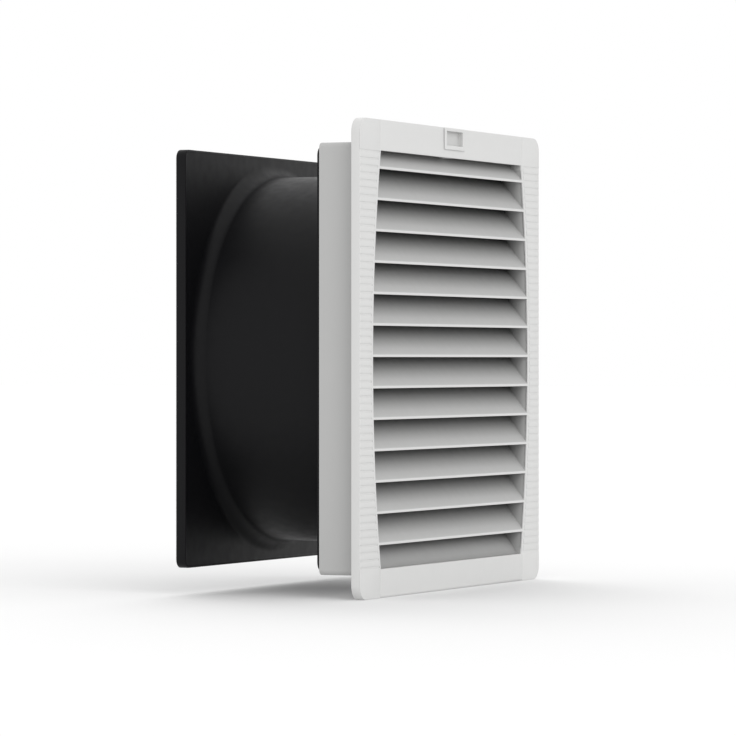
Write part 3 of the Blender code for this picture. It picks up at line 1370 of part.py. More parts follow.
def screw_mesh(name, profile, material):
    bm = turned(profile, SCREW_STEPS, closed=False)
    bmesh.ops.recalc_face_normals(bm, faces=bm.faces)
    mesh = bpy.data.meshes.new(name)
    bm.to_mesh(mesh)
    bm.free()
    mesh.shade_smooth()
    mesh.set_sharp_from_angle(angle=SHARP_EDGE)
    mesh.materials.append(material)
    return mesh


def pan_head_screw(name, scale, length, material):
    """A screw along Y with its head on the -Y side; the head is seated at the origin."""
    head = SCREW_HEAD_RADIUS * scale
    height = SCREW_HEAD_HEIGHT * scale
    shank = SCREW_RADIUS * scale
    profile = [(0, -height), (head * 0.75, -height), (head, -height * 0.4), (head, 0), (shank, 0),
               (shank, length), (0, length)]
    return screw_mesh(name, profile, material)


def sunk_head_screw(name, material):
    """A countersunk screw along Y with its flat face at the origin."""
    profile = [(0, 0), (SUNK_HEAD_RADIUS, 0), (SCREW_RADIUS, SUNK_HEAD_HEIGHT), (SCREW_RADIUS, SCREW_LENGTH),
               (0, SCREW_LENGTH)]
    return screw_mesh(name, profile, material)


def place_screw(name, mesh, place, from_behind):
    screw = bpy.data.objects.new(name, mesh)
    screw.location = place
    if from_behind:
        screw.rotation_euler = (0, 0, math.pi)
    bpy.context.collection.objects.link(screw)


def make_screws(zinc, black):
    pan_head = pan_head_screw("pan head screw", 1, SCREW_LENGTH, zinc)
    short = pan_head_screw("short pan head screw", 1, GUARD_SCREW_LENGTH, zinc)
    small = pan_head_screw("small pan head screw", LID_SCREW_SCALE, SCREW_LENGTH * LID_SCREW_SCALE, zinc)
    sunk_head = sunk_head_screw("countersunk screw", black)
    corners = (("top_left", -1, 1), ("top_right", 1, 1), ("bottom_left", -1, -1), ("bottom_right", 1, -1))
    for name, sign_x, sign_z in corners:
        reach = HOUSING_SCREW_PLACE
        place_screw("housing_screw_" + name, sunk_head,
                    (sign_x * reach, HOUSING_FLANGE_BACK_Y, sign_z * reach), True)
        reach = GUARD_SCREW_PLACE
        place_screw("guard_screw_" + name, short, (sign_x * reach, GUARD_BACK_Y + GAP, sign_z * reach), True)
    for i, (x, z) in enumerate(motor_screw_places()):
        place_screw("motor_screw_" + str(i + 1), pan_head, (x, GUARD_BACK_Y + GAP, z), True)
    for i, (x, z) in enumerate(impeller_screw_places()):
        place_screw("impeller_screw_" + str(i + 1), pan_head, (x, HUB_FRONT_Y - GAP, z), False)
    x, z = lid_screw_place()
    lid_back = HOUSING_FLANGE_BACK_Y + TERMINAL_DEPTH + GAP + TERMINAL_WALL
    place_screw("terminal_lid_screw", small, (x, lid_back + GAP, z), True)


def main():
    clear_scene()
    grey = make_material("light grey ABS", (0.70, 0.70, 0.69), 0.45)
    black = make_material("black moulded nylon", (0.022, 0.022, 0.024), 0.42)
    zinc = make_material("zinc plated steel", (0.62, 0.62, 0.64), 0.35, 1.0)
    spring = make_material("spring steel", (0.50, 0.51, 0.53), 0.30, 1.0)
    foam = make_material("black foam", (0.03, 0.03, 0.032), 0.95)
    fibre = make_material("white filter fibre", (0.82, 0.83, 0.82), 0.95)
    aluminium = make_material("die-cast aluminium", (0.66, 0.67, 0.68), 0.40, 1.0)
    bearing = make_material("bearing steel", (0.55, 0.55, 0.56), 0.22, 1.0)
    laminate = make_material("laminated steel", (0.30, 0.30, 0.31), 0.45, 1.0)
    copper = make_material("varnished copper", (0.60, 0.26, 0.12), 0.35, 1.0)
    can = make_material("black rotor lacquer", (0.025, 0.025, 0.025), 0.35)
    rubber = make_material("black rubber", (0.02, 0.02, 0.02), 0.80)
    black_steel = make_material("blackened steel", (0.04, 0.04, 0.042), 0.40, 1.0)
    terminal = make_material("grey terminal polyamide", (0.45, 0.46, 0.47), 0.50)
    make_mounting_frame(grey)
    make_flange_gasket(foam)
    make_louvre_cover(grey)
    make_hinge_pins(zinc)
    make_latch_button(grey)
    make_latch_springs(spring)
    make_filter_mat(fibre)
    make_filter_grille(grey)
    make_panel_clips(spring)
    make_fan_housing(black)
    make_cable_grommet(rubber)
    make_terminal_block(terminal)
    make_terminal_lid(black)
    make_motor_lead(rubber)
    make_rear_guard(black)
    make_motor_flange(aluminium)
    make_bearings(bearing)
    make_stator(laminate, copper)
    make_rotor(can, laminate, zinc)
    make_impeller(black)
    make_screws(zinc, black_steel)


main()
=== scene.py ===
"""Looks of the cabinet filter fan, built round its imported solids.

The shapes are written in millimetres, in the frame of the solids: +X right, +Y into the cabinet, +Z up.
"""
import math

import bmesh
import bpy
from mathutils import Matrix, Vector, noise
from mathutils.geometry import tessellate_polygon


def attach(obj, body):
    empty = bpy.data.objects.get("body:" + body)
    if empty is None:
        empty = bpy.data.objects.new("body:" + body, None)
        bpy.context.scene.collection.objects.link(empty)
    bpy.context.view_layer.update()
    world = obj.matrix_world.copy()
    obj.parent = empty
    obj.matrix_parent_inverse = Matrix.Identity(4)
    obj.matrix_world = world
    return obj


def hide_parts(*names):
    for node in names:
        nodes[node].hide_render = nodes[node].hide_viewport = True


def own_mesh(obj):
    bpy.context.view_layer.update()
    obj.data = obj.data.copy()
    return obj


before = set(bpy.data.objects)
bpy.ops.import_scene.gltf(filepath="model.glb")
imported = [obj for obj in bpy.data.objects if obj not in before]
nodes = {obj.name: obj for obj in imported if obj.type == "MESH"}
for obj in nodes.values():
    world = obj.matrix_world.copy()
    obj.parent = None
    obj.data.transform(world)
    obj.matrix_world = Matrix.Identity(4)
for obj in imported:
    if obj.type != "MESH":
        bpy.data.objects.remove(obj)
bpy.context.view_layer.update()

MM = 0.001

# Squares are given by half their width and places by their distance from the middle.
# Flange, field of louvres and cover
FLANGE = 160.0
CORNER = 10.0
FRONT = -6.5
BASE_FRONT = -2.4
FIELD_TOP = 139.3
FIELD_BOTTOM = -140.6
FIELD_END = 125.5
FIELD_BOW = 12.9
RIM = 2.6
JOG = 2.8
BAR_HALF = 126.7
BAR_JOINT = 0.6
SKIN = 1.8
SIDE_GAP = 0.2
COVER_BACK = -2.7
ROLL = 1.9
HINGE_Y = -4.6
HINGE_Z = -158.1
FIELD_MIDDLE = (FIELD_TOP + FIELD_BOTTOM) / 2
FIELD_HALF_HEIGHT = (FIELD_TOP - FIELD_BOTTOM) / 2
ARC_RADIUS = (FIELD_HALF_HEIGHT ** 2 + FIELD_BOW ** 2) / (2 * FIELD_BOW)
ARC_BASE = FIELD_END + FIELD_BOW - ARC_RADIUS
COVER_WALL = 1.6
COVER_WALL_FRONT = FRONT + 0.9
COVER_WALL_INSET = 0.3
COVER_DEPTH = 9.5
LATCH_ROOM = 5.3
LATCH_WINDOW = (-15.4, 145.1, 15.4, 158.7)

# Channel for the gasket in the flange's back
CHANNEL_OUTSIDE = 156.6
CHANNEL_INSIDE = 148.0
CHANNEL_CORNER = 6.3
CHANNEL_FRONT = -1.1

# Ribs on the side strips
RIB_TOP = 138.15
RIB_PITCH = 4.95
RIB_COUNT = 56
RIB_GROOVE = 1.3
RIB_DEPTH = 0.34
RIB_SOFT = 0.30
RIB_FAR_END = -100.0
RIB_SPLIT = -20.0

# Louvres
LOUVRE_COUNT = 14
LOUVRE_TOP = 127.0
LOUVRE_PITCH = 20.97
LOUVRE_SLOPE = 1.26
LOUVRE_DEPTH = 17.0
LOUVRE_SETBACK = 0.15
LOUVRE_LIP = 1.4
LOUVRE_REAR = 2.2
LOUVRE_UNDERCUT = 0.8
LOUVRE_HIGH = 140.1
LOUVRE_LOW = -141.4
STIFFENERS = (-70, 0, 70)
STIFFENER_HALF = 1
STIFFENER_FOOT = 15.6
STIFFENER_HEAD = 10.2
STIFFENER_FRONT = 10.25
STIFFENER_BACK = 10.7

# Latch button and its springs
LATCH_FACE = (-17.8, 144.8, 17.8, FLANGE)
LATCH_FRONT = -7.6
LATCH_FACE_BACK = -6.8
RECESS = (-14.3, 147.7, 14.3, 157.6)
RECESS_BLOCK = (-15.1, 146.9, 15.1, 158.4)
WING_ROOT = 15.0
WING_TIP = 29.8
WING_LOW = 148.3
WING_HIGH = 157.5
WING_FRONT = -4.4
WING_BACK = -3.0
ARM_HALF = 5
SPRING_LOW = 141.7
SPRING_RISE = 1.525
SPRING_NEAR = 19.6
SPRING_FAR = 27.1
SPRING_LEAF = 0.4

# Box behind the flange
BOX = 144.5
BOX_INSIDE = 142.0
BOX_END = 30.5
BOX_CORNER = 3.6
BOX_FRONT = -1.2
LIP = 134.0
LIP_FRONT = 28.0
BOSS = 135.6
BOSS_HALF = 7.6
BOSS_FRONT = 24.7

# Filter mat and grille
MAT = 141.4
MAT_FRONT = 10.9
MAT_BACK = 24.4
MAT_STEPS = 72
MAT_EDGE = 5.0
MAT_EDGE_FALL = 3.2
MAT_SINK = 0.55
GRILLE = 141.7
GRILLE_NOTCH = 127.7
GRILLE_FRONT = 24.7
GRILLE_BACK = 27.7
GRILLE_PITCH = 12.5
GRILLE_SLOT_HALF = 5.25
GRILLE_FRAME = 16.5
GRILLE_BAR = 2.0

# Fan housing
HOUSING = 142.0
HOUSING_CORNER = 6.0
HOUSING_FRONT = 30.8
HOUSING_FLANGE_BACK = 33.0
DUCT = 128.0
DUCT_INSIDE = 125.2
FLARE = 136.5
CREASE = 122.1
PLATE_FRONT = 131.0
PLATE_BACK = 133.6
RIM_BACK = 138.3
RIM_WALL = 2.5
CORNER_RIB_END = 162.5
SCREW_POST = 4.5
GUARD_POST_BACK = 134.9
SCREW_HOLE = 1.8
GUARD_SCREWS = 130.0
HOUSING_SCREWS = 134.0
ROUND_STEPS = 160

# Terminal compartment in a lower corner of the fan housing, and its lid
COMPARTMENT = (112, -112)
COMPARTMENT_HALF = 15
COMPARTMENT_CORNER = 3
COMPARTMENT_INSIDE = 13
COMPARTMENT_BACK = 58
LID_SCREW = (121.5, -121.5)
LID_POST_BACK = 57.7
LEAD_HOLE = (105.7, -105.7)
LID_FRONT = 58.3
LID_BACK = 60.3

# Rear guard
GUARD_FRONT = 133.9
GUARD_BACK = 137.4
GUARD_LUG_FRONT = 135.2
GUARD_HUB = 50.0
GUARD_OPEN = 133.5
GUARD_EDGE = 139.0
GUARD_RING_PITCH = 17.22
GUARD_RING = 2.6
GUARD_RING_SOFT = 0.6
GUARD_SWIRL = 24.0
GUARD_LUG = 7
GUARD_SPOKES = 8
GUARD_SPOKE_HALF = 2.5
MOTOR_SCREWS = 32
MOTOR_SCREW_TURN = 47

# Motor lead
LEAD_RADIUS = 1.6
LEAD_START = 46.3
LEAD_CORNER = 141.5
LEAD_BEND = 8
LEAD_DEPTH = 131.85
LEAD_FORWARD = 69.85

# Impeller
HUB_FRONT = 72.7
HUB_BACK = 116.2
HUB = 50.4
HUB_INSIDE = 47.3
HUB_FACE_RING = (12, 30)
BLADES = 7
BLADE_TIP = 122.7
BLADE_CHORD = 58
BLADE_CHORD_GAIN = 20
BLADE_STAGGER = 47
BLADE_STAGGER_GAIN = 19
BLADE_CAMBER = 0.08
BLADE_SWEEP = 20
BLADE_THICKNESS = 0.025


# Outlines, as lists of (u, v) points

def arc(centre, radius, start, end, steps):
    """Points along a circular arc, angles in degrees."""
    points = []
    for i in range(steps + 1):
        angle = math.radians(start + (end - start) * i / steps)
        points.append((centre[0] + radius * math.cos(angle), centre[1] + radius * math.sin(angle)))
    return points


def circle(radius, steps, centre=(0, 0)):
    return arc(centre, radius, 0, 360, steps)[:-1]


def rounded_square(half, radius, steps=8, centre=(0, 0)):
    points = []
    for corner in range(4):
        sign_u = 1 if corner in (0, 3) else -1
        sign_v = 1 if corner in (0, 1) else -1
        middle = (centre[0] + sign_u * (half - radius), centre[1] + sign_v * (half - radius))
        points += arc(middle, radius, corner * 90, corner * 90 + 90, steps)
    return points


def rectangle(low_u, low_v, high_u, high_v):
    return [(low_u, low_v), (high_u, low_v), (high_u, high_v), (low_u, high_v)]


def mirrored(points):
    return [(-u, v) for u, v in reversed(points)]


def signed_area(points):
    return sum(a[0] * b[1] - b[0] * a[1] for a, b in zip(points, points[1:] + points[:1])) / 2


def grown(points, distance):
    """The outline moved outwards by a distance, or inwards where it is negative."""
    turn = 1 if signed_area(points) > 0 else -1
    moved = []
    for i, here in enumerate(points):
        here = Vector(here)
        into = (here - Vector(points[i - 1])).normalized()
        out = (Vector(points[(i + 1) % len(points)]) - here).normalized()
        normals = [Vector((edge.y, -edge.x)) * turn for edge in (into, out)]
        middle = (normals[0] + normals[1]).normalized()
        moved.append(tuple(here + middle * distance / max(middle.dot(normals[0]), 0.35)))
    return moved


def eased(points, reach, steps=3):
    """The outline with its sharper corners rounded off."""
    soft = []
    for i, here in enumerate(points):
        here = Vector(here)
        back = Vector(points[i - 1]) - here
        ahead = Vector(points[(i + 1) % len(points)]) - here
        if back.angle(ahead) > math.radians(155):
            soft.append(tuple(here))
            continue
        start = here + back.normalized() * min(reach, back.length * 0.45)
        end = here + ahead.normalized() * min(reach, ahead.length * 0.45)
        for step in range(steps + 1):
            share = step / steps
            soft.append(tuple(start * (1 - share) ** 2 + here * 2 * share * (1 - share) + end * share ** 2))
    return soft


def field_half_width(z):
    """Half the width of the louvred field at one height."""
    return ARC_BASE + math.sqrt(ARC_RADIUS ** 2 - (z - FIELD_MIDDLE) ** 2)


def field_side(offset, low, high, steps=40):
    heights = [low + (high - low) * i / steps for i in range(steps + 1)]
    return [(field_half_width(z) + offset, z) for z in heights]


def cover_side(gap, low, high):
    """The right edge of the cover, with its jog round the rim of the field."""
    bar = BAR_HALF + gap
    points = [(bar, low), (bar, FIELD_BOTTOM - gap - BAR_JOINT)]
    points += field_side(RIM + gap, FIELD_BOTTOM + JOG - gap, FIELD_TOP - JOG + gap)
    return points + [(bar, FIELD_TOP + gap + BAR_JOINT), (bar, high)]


# Solids

def front_plane(u, v, depth):
    return Vector((u, depth, v))


def side_plane(u, v, depth):
    return Vector((depth, u, v))


def edge_rows(start, end, edges, steps):
    """(offset, depth) pairs through a plate whose two faces have rounded edges."""
    rows = []
    for face, width, sign in ((start, edges[0], 1), (end, edges[1], -1)):
        count = steps if width > 0 else 0
        side = []
        for i in range(count + 1):
            angle = math.pi / 2 * i / max(count, 1)
            side.append((-width * (1 - math.sin(angle)), face + sign * width * (1 - math.cos(angle))))
        rows.append(side)
    return rows[0] + rows[1][::-1]


def plate(bm, outline, start, end, holes=(), edges=(0.3, 0.3), steps=2, plane=front_plane):
    """A plate with rounded edges round its outline and its holes."""
    rows = edge_rows(start, end, edges, steps)
    stacks = []
    for index, loop in enumerate([outline, *holes]):
        side = 1 if index == 0 else -1
        stacks.append([[bm.verts.new(plane(u, v, depth)) for u, v in grown(loop, side * offset)]
                       for offset, depth in rows])
    for level in (0, -1):
        flat = [vert for stack in stacks for vert in stack[level]]
        loops = [[Vector((*flat_point(vert.co, plane), 0)) for vert in stack[level]] for stack in stacks]
        for triangle in tessellate_polygon(loops):
            bm.faces.new([flat[i] for i in triangle])
    for stack in stacks:
        skin(bm, stack)
    return bm


def flat_point(point, plane):
    """The two outline coordinates of a point in space."""
    return (point.y, point.z) if plane is side_plane else (point.x, point.z)


def skin(bm, rings):
    """Join a row of rings of vertices with faces."""
    for ring, following in zip(rings, rings[1:]):
        for i in range(len(ring)):
            j = (i + 1) % len(ring)
            bm.faces.new([ring[i], ring[j], following[j], following[i]])


def loft(bm, loops):
    """A solid through a row of loops with equal point counts."""
    rings = [[bm.verts.new(point) for point in loop] for loop in loops]
    skin(bm, rings)
    for ring in (rings[0], rings[-1]):
        bm.faces.new(ring)
    return bm


def turned(bm, profile, steps, closed=True):
    """A solid turned about the Y axis from (radius, depth) points; an open profile ends on the axis."""
    rings = []
    for radius, depth in profile:
        if radius < 1e-6:
            rings.append([bm.verts.new((0, depth, 0))])
        else:
            rings.append([bm.verts.new(front_plane(u, v, depth)) for u, v in circle(radius, steps)])
    pairs = list(zip(rings, rings[1:]))
    if closed:
        pairs.append((rings[-1], rings[0]))
    for ring, following in pairs:
        for i in range(steps):
            j = (i + 1) % steps
            corners = [ring[i % len(ring)], ring[j % len(ring)],
                       following[j % len(following)], following[i % len(following)]]
            bm.faces.new(list(dict.fromkeys(corners)))
    return bm


def placed(bm, matrix):
    bmesh.ops.transform(bm, matrix=matrix, verts=bm.verts)
    return bm


def joined(bm, other):
    """Put the faces of another bmesh into this one."""
    mesh = bpy.data.meshes.new("part")
    other.to_mesh(mesh)
    other.free()
    bm.from_mesh(mesh)
    bpy.data.meshes.remove(mesh)
    return bm


def make_object(name, bm, material):
    """An object in metres with outward faces, smooth but for its sharper edges."""
    bmesh.ops.recalc_face_normals(bm, faces=bm.faces)
    bmesh.ops.scale(bm, vec=(MM, MM, MM), verts=bm.verts)
    mesh = bpy.data.meshes.new(name)
    bm.to_mesh(mesh)
    bm.free()
    mesh.materials.append(material)
    mesh.shade_smooth()
    mesh.set_sharp_from_angle(angle=math.radians(38))
    obj = bpy.data.objects.new(name, mesh)
    bpy.context.scene.collection.objects.link(obj)
    return obj


def stand_for(obj, body, slot, *replaced):
    """Let a finished piece ride on its body and take the place of its nodes."""
    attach(obj, body)
    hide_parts(*replaced)
    return obj


# Node trees

def linear(colour):
    """An sRGB hex colour as linear light with alpha."""
    parts = [int(colour[i:i + 2], 16) / 255 for i in (1, 3, 5)]
    return [part / 12.92 if part <= 0.04045 else ((part + 0.055) / 1.055) ** 2.4 for part in parts] + [1.0]


def node(tree, kind, inputs=None, **settings):
    """Add a node with its settings; an input is given a value, an output, or a node for its first output."""
    made = tree.nodes.new(kind)
    for name, value in settings.items():
        setattr(made, name, value)
    for name, value in (inputs or {}).items():
        if isinstance(value, bpy.types.Node):
            value = value.outputs[0]
        if isinstance(value, bpy.types.NodeSocket):
            tree.links.new(value, made.inputs[name])
        else:
            made.inputs[name].default_value = value
    return made


def surface(name, colour, roughness, metallic=0.0, tone=0.03, tone_mm=35.0, gloss=0.05, gloss_mm=7.0,
            grain_mm=1.1, grain_um=9.0, stretch=(1, 1, 1), specular=0.5, height=None, shade=None):
    """A finish with clouded tone, uneven gloss and a fine grain; height can add a pattern, and shade can add
    painted shade.

    Sizes that end in _mm are the width of a cloud, patch or grain; grain_um is the grain's height.
    """
    made = bpy.data.materials.new(name)
    made.use_nodes = True
    tree = made.node_tree
    shader = tree.nodes["Principled BSDF"]
    shader.inputs["Metallic"].default_value = metallic
    shader.inputs["Specular IOR Level"].default_value = specular
    coordinates = node(tree, "ShaderNodeTexCoord").outputs["Object"]
    place = node(tree, "ShaderNodeMapping", {"Vector": coordinates, "Scale": stretch})
    clouds = node(tree, "ShaderNodeTexNoise", {"Vector": place, "Scale": 1000 / tone_mm, "Detail": 4.0})
    base = linear(colour)
    dark = [part * (1 - tone) for part in base[:3]] + [1.0]
    light = [min(part * (1 + tone), 1.0) for part in base[:3]] + [1.0]
    mixed = node(tree, "ShaderNodeMix", {0: clouds, 6: dark, 7: light}, data_type="RGBA").outputs[2]
    if shade is not None:
        mixed = shade(tree, place, mixed)
    tree.links.new(mixed, shader.inputs["Base Color"])
    patches = node(tree, "ShaderNodeTexNoise", {"Vector": place, "Scale": 1000 / gloss_mm, "Detail": 3.0})
    rough = node(tree, "ShaderNodeMapRange", {"Value": patches, "From Min": 0.3, "From Max": 0.7,
                                              "To Min": roughness - gloss, "To Max": roughness + gloss})
    tree.links.new(rough.outputs["Result"], shader.inputs["Roughness"])
    grain = node(tree, "ShaderNodeTexNoise", {"Vector": place, "Scale": 1000 / grain_mm, "Detail": 2.0})
    bump = node(tree, "ShaderNodeBump", {"Height": grain, "Distance": grain_um * 1e-6})
    if height is not None:
        pattern, depth = height(tree, place)
        bump = node(tree, "ShaderNodeBump", {"Height": pattern, "Distance": depth, "Normal": bump})
    tree.links.new(bump.outputs["Normal"], shader.inputs["Normal"])
    return made


# Scales of the wave texture, which draws a band every 2 pi / 20 of a metre at scale 1
SHEET_BANDS = 1000 / 6.283
WIRE_BANDS = 1000 / 7.5


def sheet_edges(tree, place):
    """Edges of stacked sheets across the Y axis, 0.5 mm sheets drawn 2 mm apart so that they show."""
    bands = node(tree, "ShaderNodeTexWave", {"Vector": place, "Scale": SHEET_BANDS, "Distortion": 0.0},
                 wave_type="BANDS", bands_direction="Y")
    return bands.outputs["Fac"], 0.00008


def wire_turns(tree, place):
    """Turns of wire round the Y axis, 0.6 mm wire drawn 2.4 mm thick, a little uneven."""
    bands = node(tree, "ShaderNodeTexWave", {"Vector": place, "Scale": WIRE_BANDS, "Distortion": 1.5,
                                             "Detail": 1.0, "Detail Scale": 0.4},
                 wave_type="RINGS", rings_direction="Y")
    return bands.outputs["Fac"], 0.0003


def foam_cells(tree, place):
    """Open cells about 1 mm across."""
    cells = node(tree, "ShaderNodeTexVoronoi", {"Vector": place, "Scale": 950.0}, feature="F1")
    return cells, 0.0005


def fibre_tangle(tree, place):
    """A tangle of loose fibres; real ones are 0.03 mm thick, these strands are drawn 0.8 mm wide."""
    strands = node(tree, "ShaderNodeTexNoise", {"Vector": place, "Scale": 1150.0, "Detail": 6.0,
                                                "Roughness": 0.75, "Distortion": 2.2})
    return strands, 0.0009


def fibre_painted_shade(tree, place, base):
    """Painted shade: loose fibre drawn darker in patches, for the hollows between its strands."""
    hollows = node(tree, "ShaderNodeTexNoise", {"Vector": place, "Scale": 420.0, "Detail": 5.0,
                                                "Distortion": 1.5})
    share = node(tree, "ShaderNodeMapRange", {"Value": hollows, "From Min": 0.35, "From Max": 0.65})
    return node(tree, "ShaderNodeMix", {0: share, 6: linear("#B4B8B6"), 7: base}, data_type="RGBA").outputs[2]


# Painted shade: tone of the louvres against their depth in mm, bright at the lip and dim where
# little light gets in
PAINTED_SHADE_BY_DEPTH = ((-6.3, 1.0), (-5.9, 0.69), (-2.8, 0.645), (0.0, 0.54), (5.0, 0.365), (7.5, 0.195),
               (9.6, 0.04))
# How far in mm below the sloping face and before the rear edge the louvres turn plain, without the painted
# shade
PLAIN_BELOW = 0.3
PLAIN_BEFORE_EDGE = 0.15


def painted_depth_shade(tree, place, base):
    """Painted shade: the base colour, dimmed with the distance behind the front."""
    low, high = PAINTED_SHADE_BY_DEPTH[0][0], PAINTED_SHADE_BY_DEPTH[-1][0]
    depth = node(tree, "ShaderNodeSeparateXYZ", {0: place}).outputs["Y"]
    share = node(tree, "ShaderNodeMapRange", {"Value": depth, "From Min": low * MM, "From Max": high * MM})
    ramp = node(tree, "ShaderNodeValToRGB", {"Fac": share})
    stops = ramp.color_ramp.elements
    for index, (position, tone) in enumerate(PAINTED_SHADE_BY_DEPTH):
        spot = (position - low) / (high - low)
        stop = stops[0] if index == 0 else stops[-1] if index == len(PAINTED_SHADE_BY_DEPTH) - 1 else stops.new(spot)
        stop.color = (tone, tone, tone, 1.0)
    return node(tree, "ShaderNodeMix", {0: 1.0, 6: base, 7: ramp}, data_type="RGBA",
                blend_type="MULTIPLY").outputs[2]


def louvre_painted_shade(tree, place, base):
    """Painted shade with depth on the face that slopes up and back; the rear face and the rear edge stay
    plain.
    """
    front = FRONT + LOUVRE_SETBACK
    spot = node(tree, "ShaderNodeSeparateXYZ", {0: place}).outputs
    lift = node(tree, "ShaderNodeMath", {0: spot["Y"], 1: -LOUVRE_SLOPE, 2: spot["Z"]},
                operation="MULTIPLY_ADD")
    level = node(tree, "ShaderNodeMath", {0: lift, 1: (LOUVRE_SLOPE * front - LOUVRE_TOP) * MM},
                 operation="ADD")
    over = node(tree, "ShaderNodeMath", {0: level, 1: LOUVRE_PITCH / 2 * MM, 2: -LOUVRE_PITCH / 2 * MM},
                operation="WRAP")
    under = node(tree, "ShaderNodeMath", {0: over, 1: PLAIN_BELOW * MM}, operation="LESS_THAN")
    edge = node(tree, "ShaderNodeMath", {0: spot["Y"], 1: (front + LOUVRE_DEPTH - PLAIN_BEFORE_EDGE) * MM},
                operation="GREATER_THAN")
    rear = node(tree, "ShaderNodeMath", {0: under, 1: edge}, operation="MAXIMUM")
    return node(tree, "ShaderNodeMix", {0: rear, 6: painted_depth_shade(tree, place, base), 7: base},
                data_type="RGBA").outputs[2]


# ABS housing plastic in light grey, moulded in a spark-eroded tool: an even, dull satin
light_abs = surface("light_grey_abs", "#D6D6D5", 0.52, tone=0.012, grain_um=5.0)
# The same plastic on the box behind the flange, drawn darker as painted shade from the flange;
# also eroded a little coarser, so that it reads duller
shaded_grey_abs = surface("darker_grey_abs_painted_shade", "#BEBEBD", 0.60, tone=0.012, grain_um=8.0, specular=0.4)
# The same plastic in the finger recess of the latch, drawn darker as painted shade in the recess
shaded_recess_plastic = surface("recess_grey_abs_painted_shade", "#CCCCCB", 0.60, tone=0.012, grain_um=8.0, specular=0.4)
# The same plastic between the louvres, with painted shade that dims it towards the inside
shaded_louvre_plastic = surface("louvre_grey_abs_painted_shade", "#D7D7D6", 0.58, tone=0.015, grain_um=5.0, specular=0.4,
                     shade=louvre_painted_shade)
# The same plastic on the cover's inner rims, with the same painted shade
shaded_rim_plastic = surface("rim_grey_abs_painted_shade", "#D7D7D6", 0.58, tone=0.015, grain_um=5.0, specular=0.4,
                  shade=painted_depth_shade)
# Glass-filled nylon in black, moulded: dull, with a soft wide highlight
black_nylon = surface("black_nylon", "#0D0D0F", 0.42, tone=0.10, tone_mm=60.0, gloss=0.04, grain_um=6.0,
                      specular=0.155)
# The same nylon on the impeller and guard, a little glossier from a polished tool
impeller_nylon = surface("impeller_nylon", "#202022", 0.38, tone=0.08, grain_um=5.0, specular=0.45)
# Zinc-plated steel, blue passivated: bright with slightly cloudy patches
zinc_plate = surface("zinc_plated_steel", "#C4C7CC", 0.30, metallic=1.0, tone=0.07, tone_mm=4.0, gloss=0.07,
                     gloss_mm=1.5, grain_um=2.0)
# Blackened steel of the sunk screws: dark with a dull metal shine
black_steel = surface("blackened_steel", "#26272A", 0.42, metallic=1.0, tone=0.1, tone_mm=4.0,
                      gloss_mm=1.5, grain_um=2.0)
# Cold-rolled spring steel: fine lines along the strip
spring_steel = surface("rolled_spring_steel", "#A9ACB0", 0.26, metallic=1.0, tone=0.05, tone_mm=6.0,
                       gloss_mm=1.2, grain_mm=0.8, grain_um=3.0, stretch=(1, 0.12, 1))
# Die-cast aluminium: pale grey and slightly pebbled
cast_aluminium = surface("die_cast_aluminium", "#B5B8BA", 0.46, metallic=1.0, tone=0.06, tone_mm=12.0,
                         gloss=0.07, grain_mm=0.9, grain_um=14.0)
# Ground bearing steel: bright and even
ground_steel = surface("ground_bearing_steel", "#B9BBC0", 0.2, metallic=1.0, gloss=0.03, grain_um=1.0)
# Varnished electrical sheet: the dark edges of the stacked sheets show as fine rings
core_sheet = surface("electrical_sheet", "#5A5C60", 0.45, metallic=1.0, tone=0.1, grain_um=4.0,
                     height=sheet_edges)
# Enamelled copper wire, dipped in varnish: warm and glossy, wound in turns
copper_wire = surface("enamelled_copper_wire", "#B5622D", 0.28, metallic=1.0, tone=0.15, tone_mm=5.0,
                      gloss=0.06, grain_um=3.0, height=wire_turns)
# Black stoving lacquer on the drawn rotor can
rotor_lacquer = surface("rotor_lacquer", "#1C1C1E", 0.34, tone=0.06, grain_mm=1.6, grain_um=5.0)
# Soft rubber: dull black with a fine bloom
soft_rubber = surface("black_rubber", "#1A1A1A", 0.68, tone=0.12, tone_mm=9.0, gloss=0.06, grain_um=10.0)
# Closed-cell foam strip: dull with small cells
gasket_foam = surface("gasket_foam", "#2A2B2C", 0.92, tone=0.10, grain_um=20.0, height=foam_cells)
# Polyamide of the terminal block: mid grey, satin
terminal_nylon = surface("terminal_nylon", "#8D9092", 0.46, tone=0.04, tone_mm=8.0, grain_um=6.0)
# Needled polyester fibre: white, fluffy, with painted shade in soft hollows and a faint sheen
fibre_mat = surface("needled_polyester_fibre", "#F0F1EF", 0.95, tone_mm=14.0, gloss=0.02, grain_um=30.0,
                    specular=0.2, height=fibre_tangle, shade=fibre_painted_shade)
fibre_mat.node_tree.nodes["Principled BSDF"].inputs["Sheen Weight"].default_value = 0.4


# Repeats made with Geometry Nodes

def new_tree(name, sizes):
    """An empty tree with a geometry input and output and named number inputs."""
    tree = bpy.data.node_groups.new(name, "GeometryNodeTree")
    tree.interface.new_socket("Geometry", in_out="INPUT", socket_type="NodeSocketGeometry")
    for size in sizes:
        kind = "NodeSocketInt" if size == "Count" else "NodeSocketFloat"
        tree.interface.new_socket(size, in_out="INPUT", socket_type=kind)
    tree.interface.new_socket("Material", in_out="INPUT", socket_type="NodeSocketMaterial")
    tree.interface.new_socket("Geometry", in_out="OUTPUT", socket_type="NodeSocketGeometry")
    return tree, tree.nodes.new("NodeGroupInput").outputs


def close_tree(tree, given, shape):
    """End a tree with real geometry that carries its material."""
    real = node(tree, "GeometryNodeRealizeInstances", {"Geometry": shape})
    painted = node(tree, "GeometryNodeSetMaterial", {"Geometry": real, "Material": given["Material"]})
    node(tree, "NodeGroupOutput", {"Geometry": painted})
    return tree


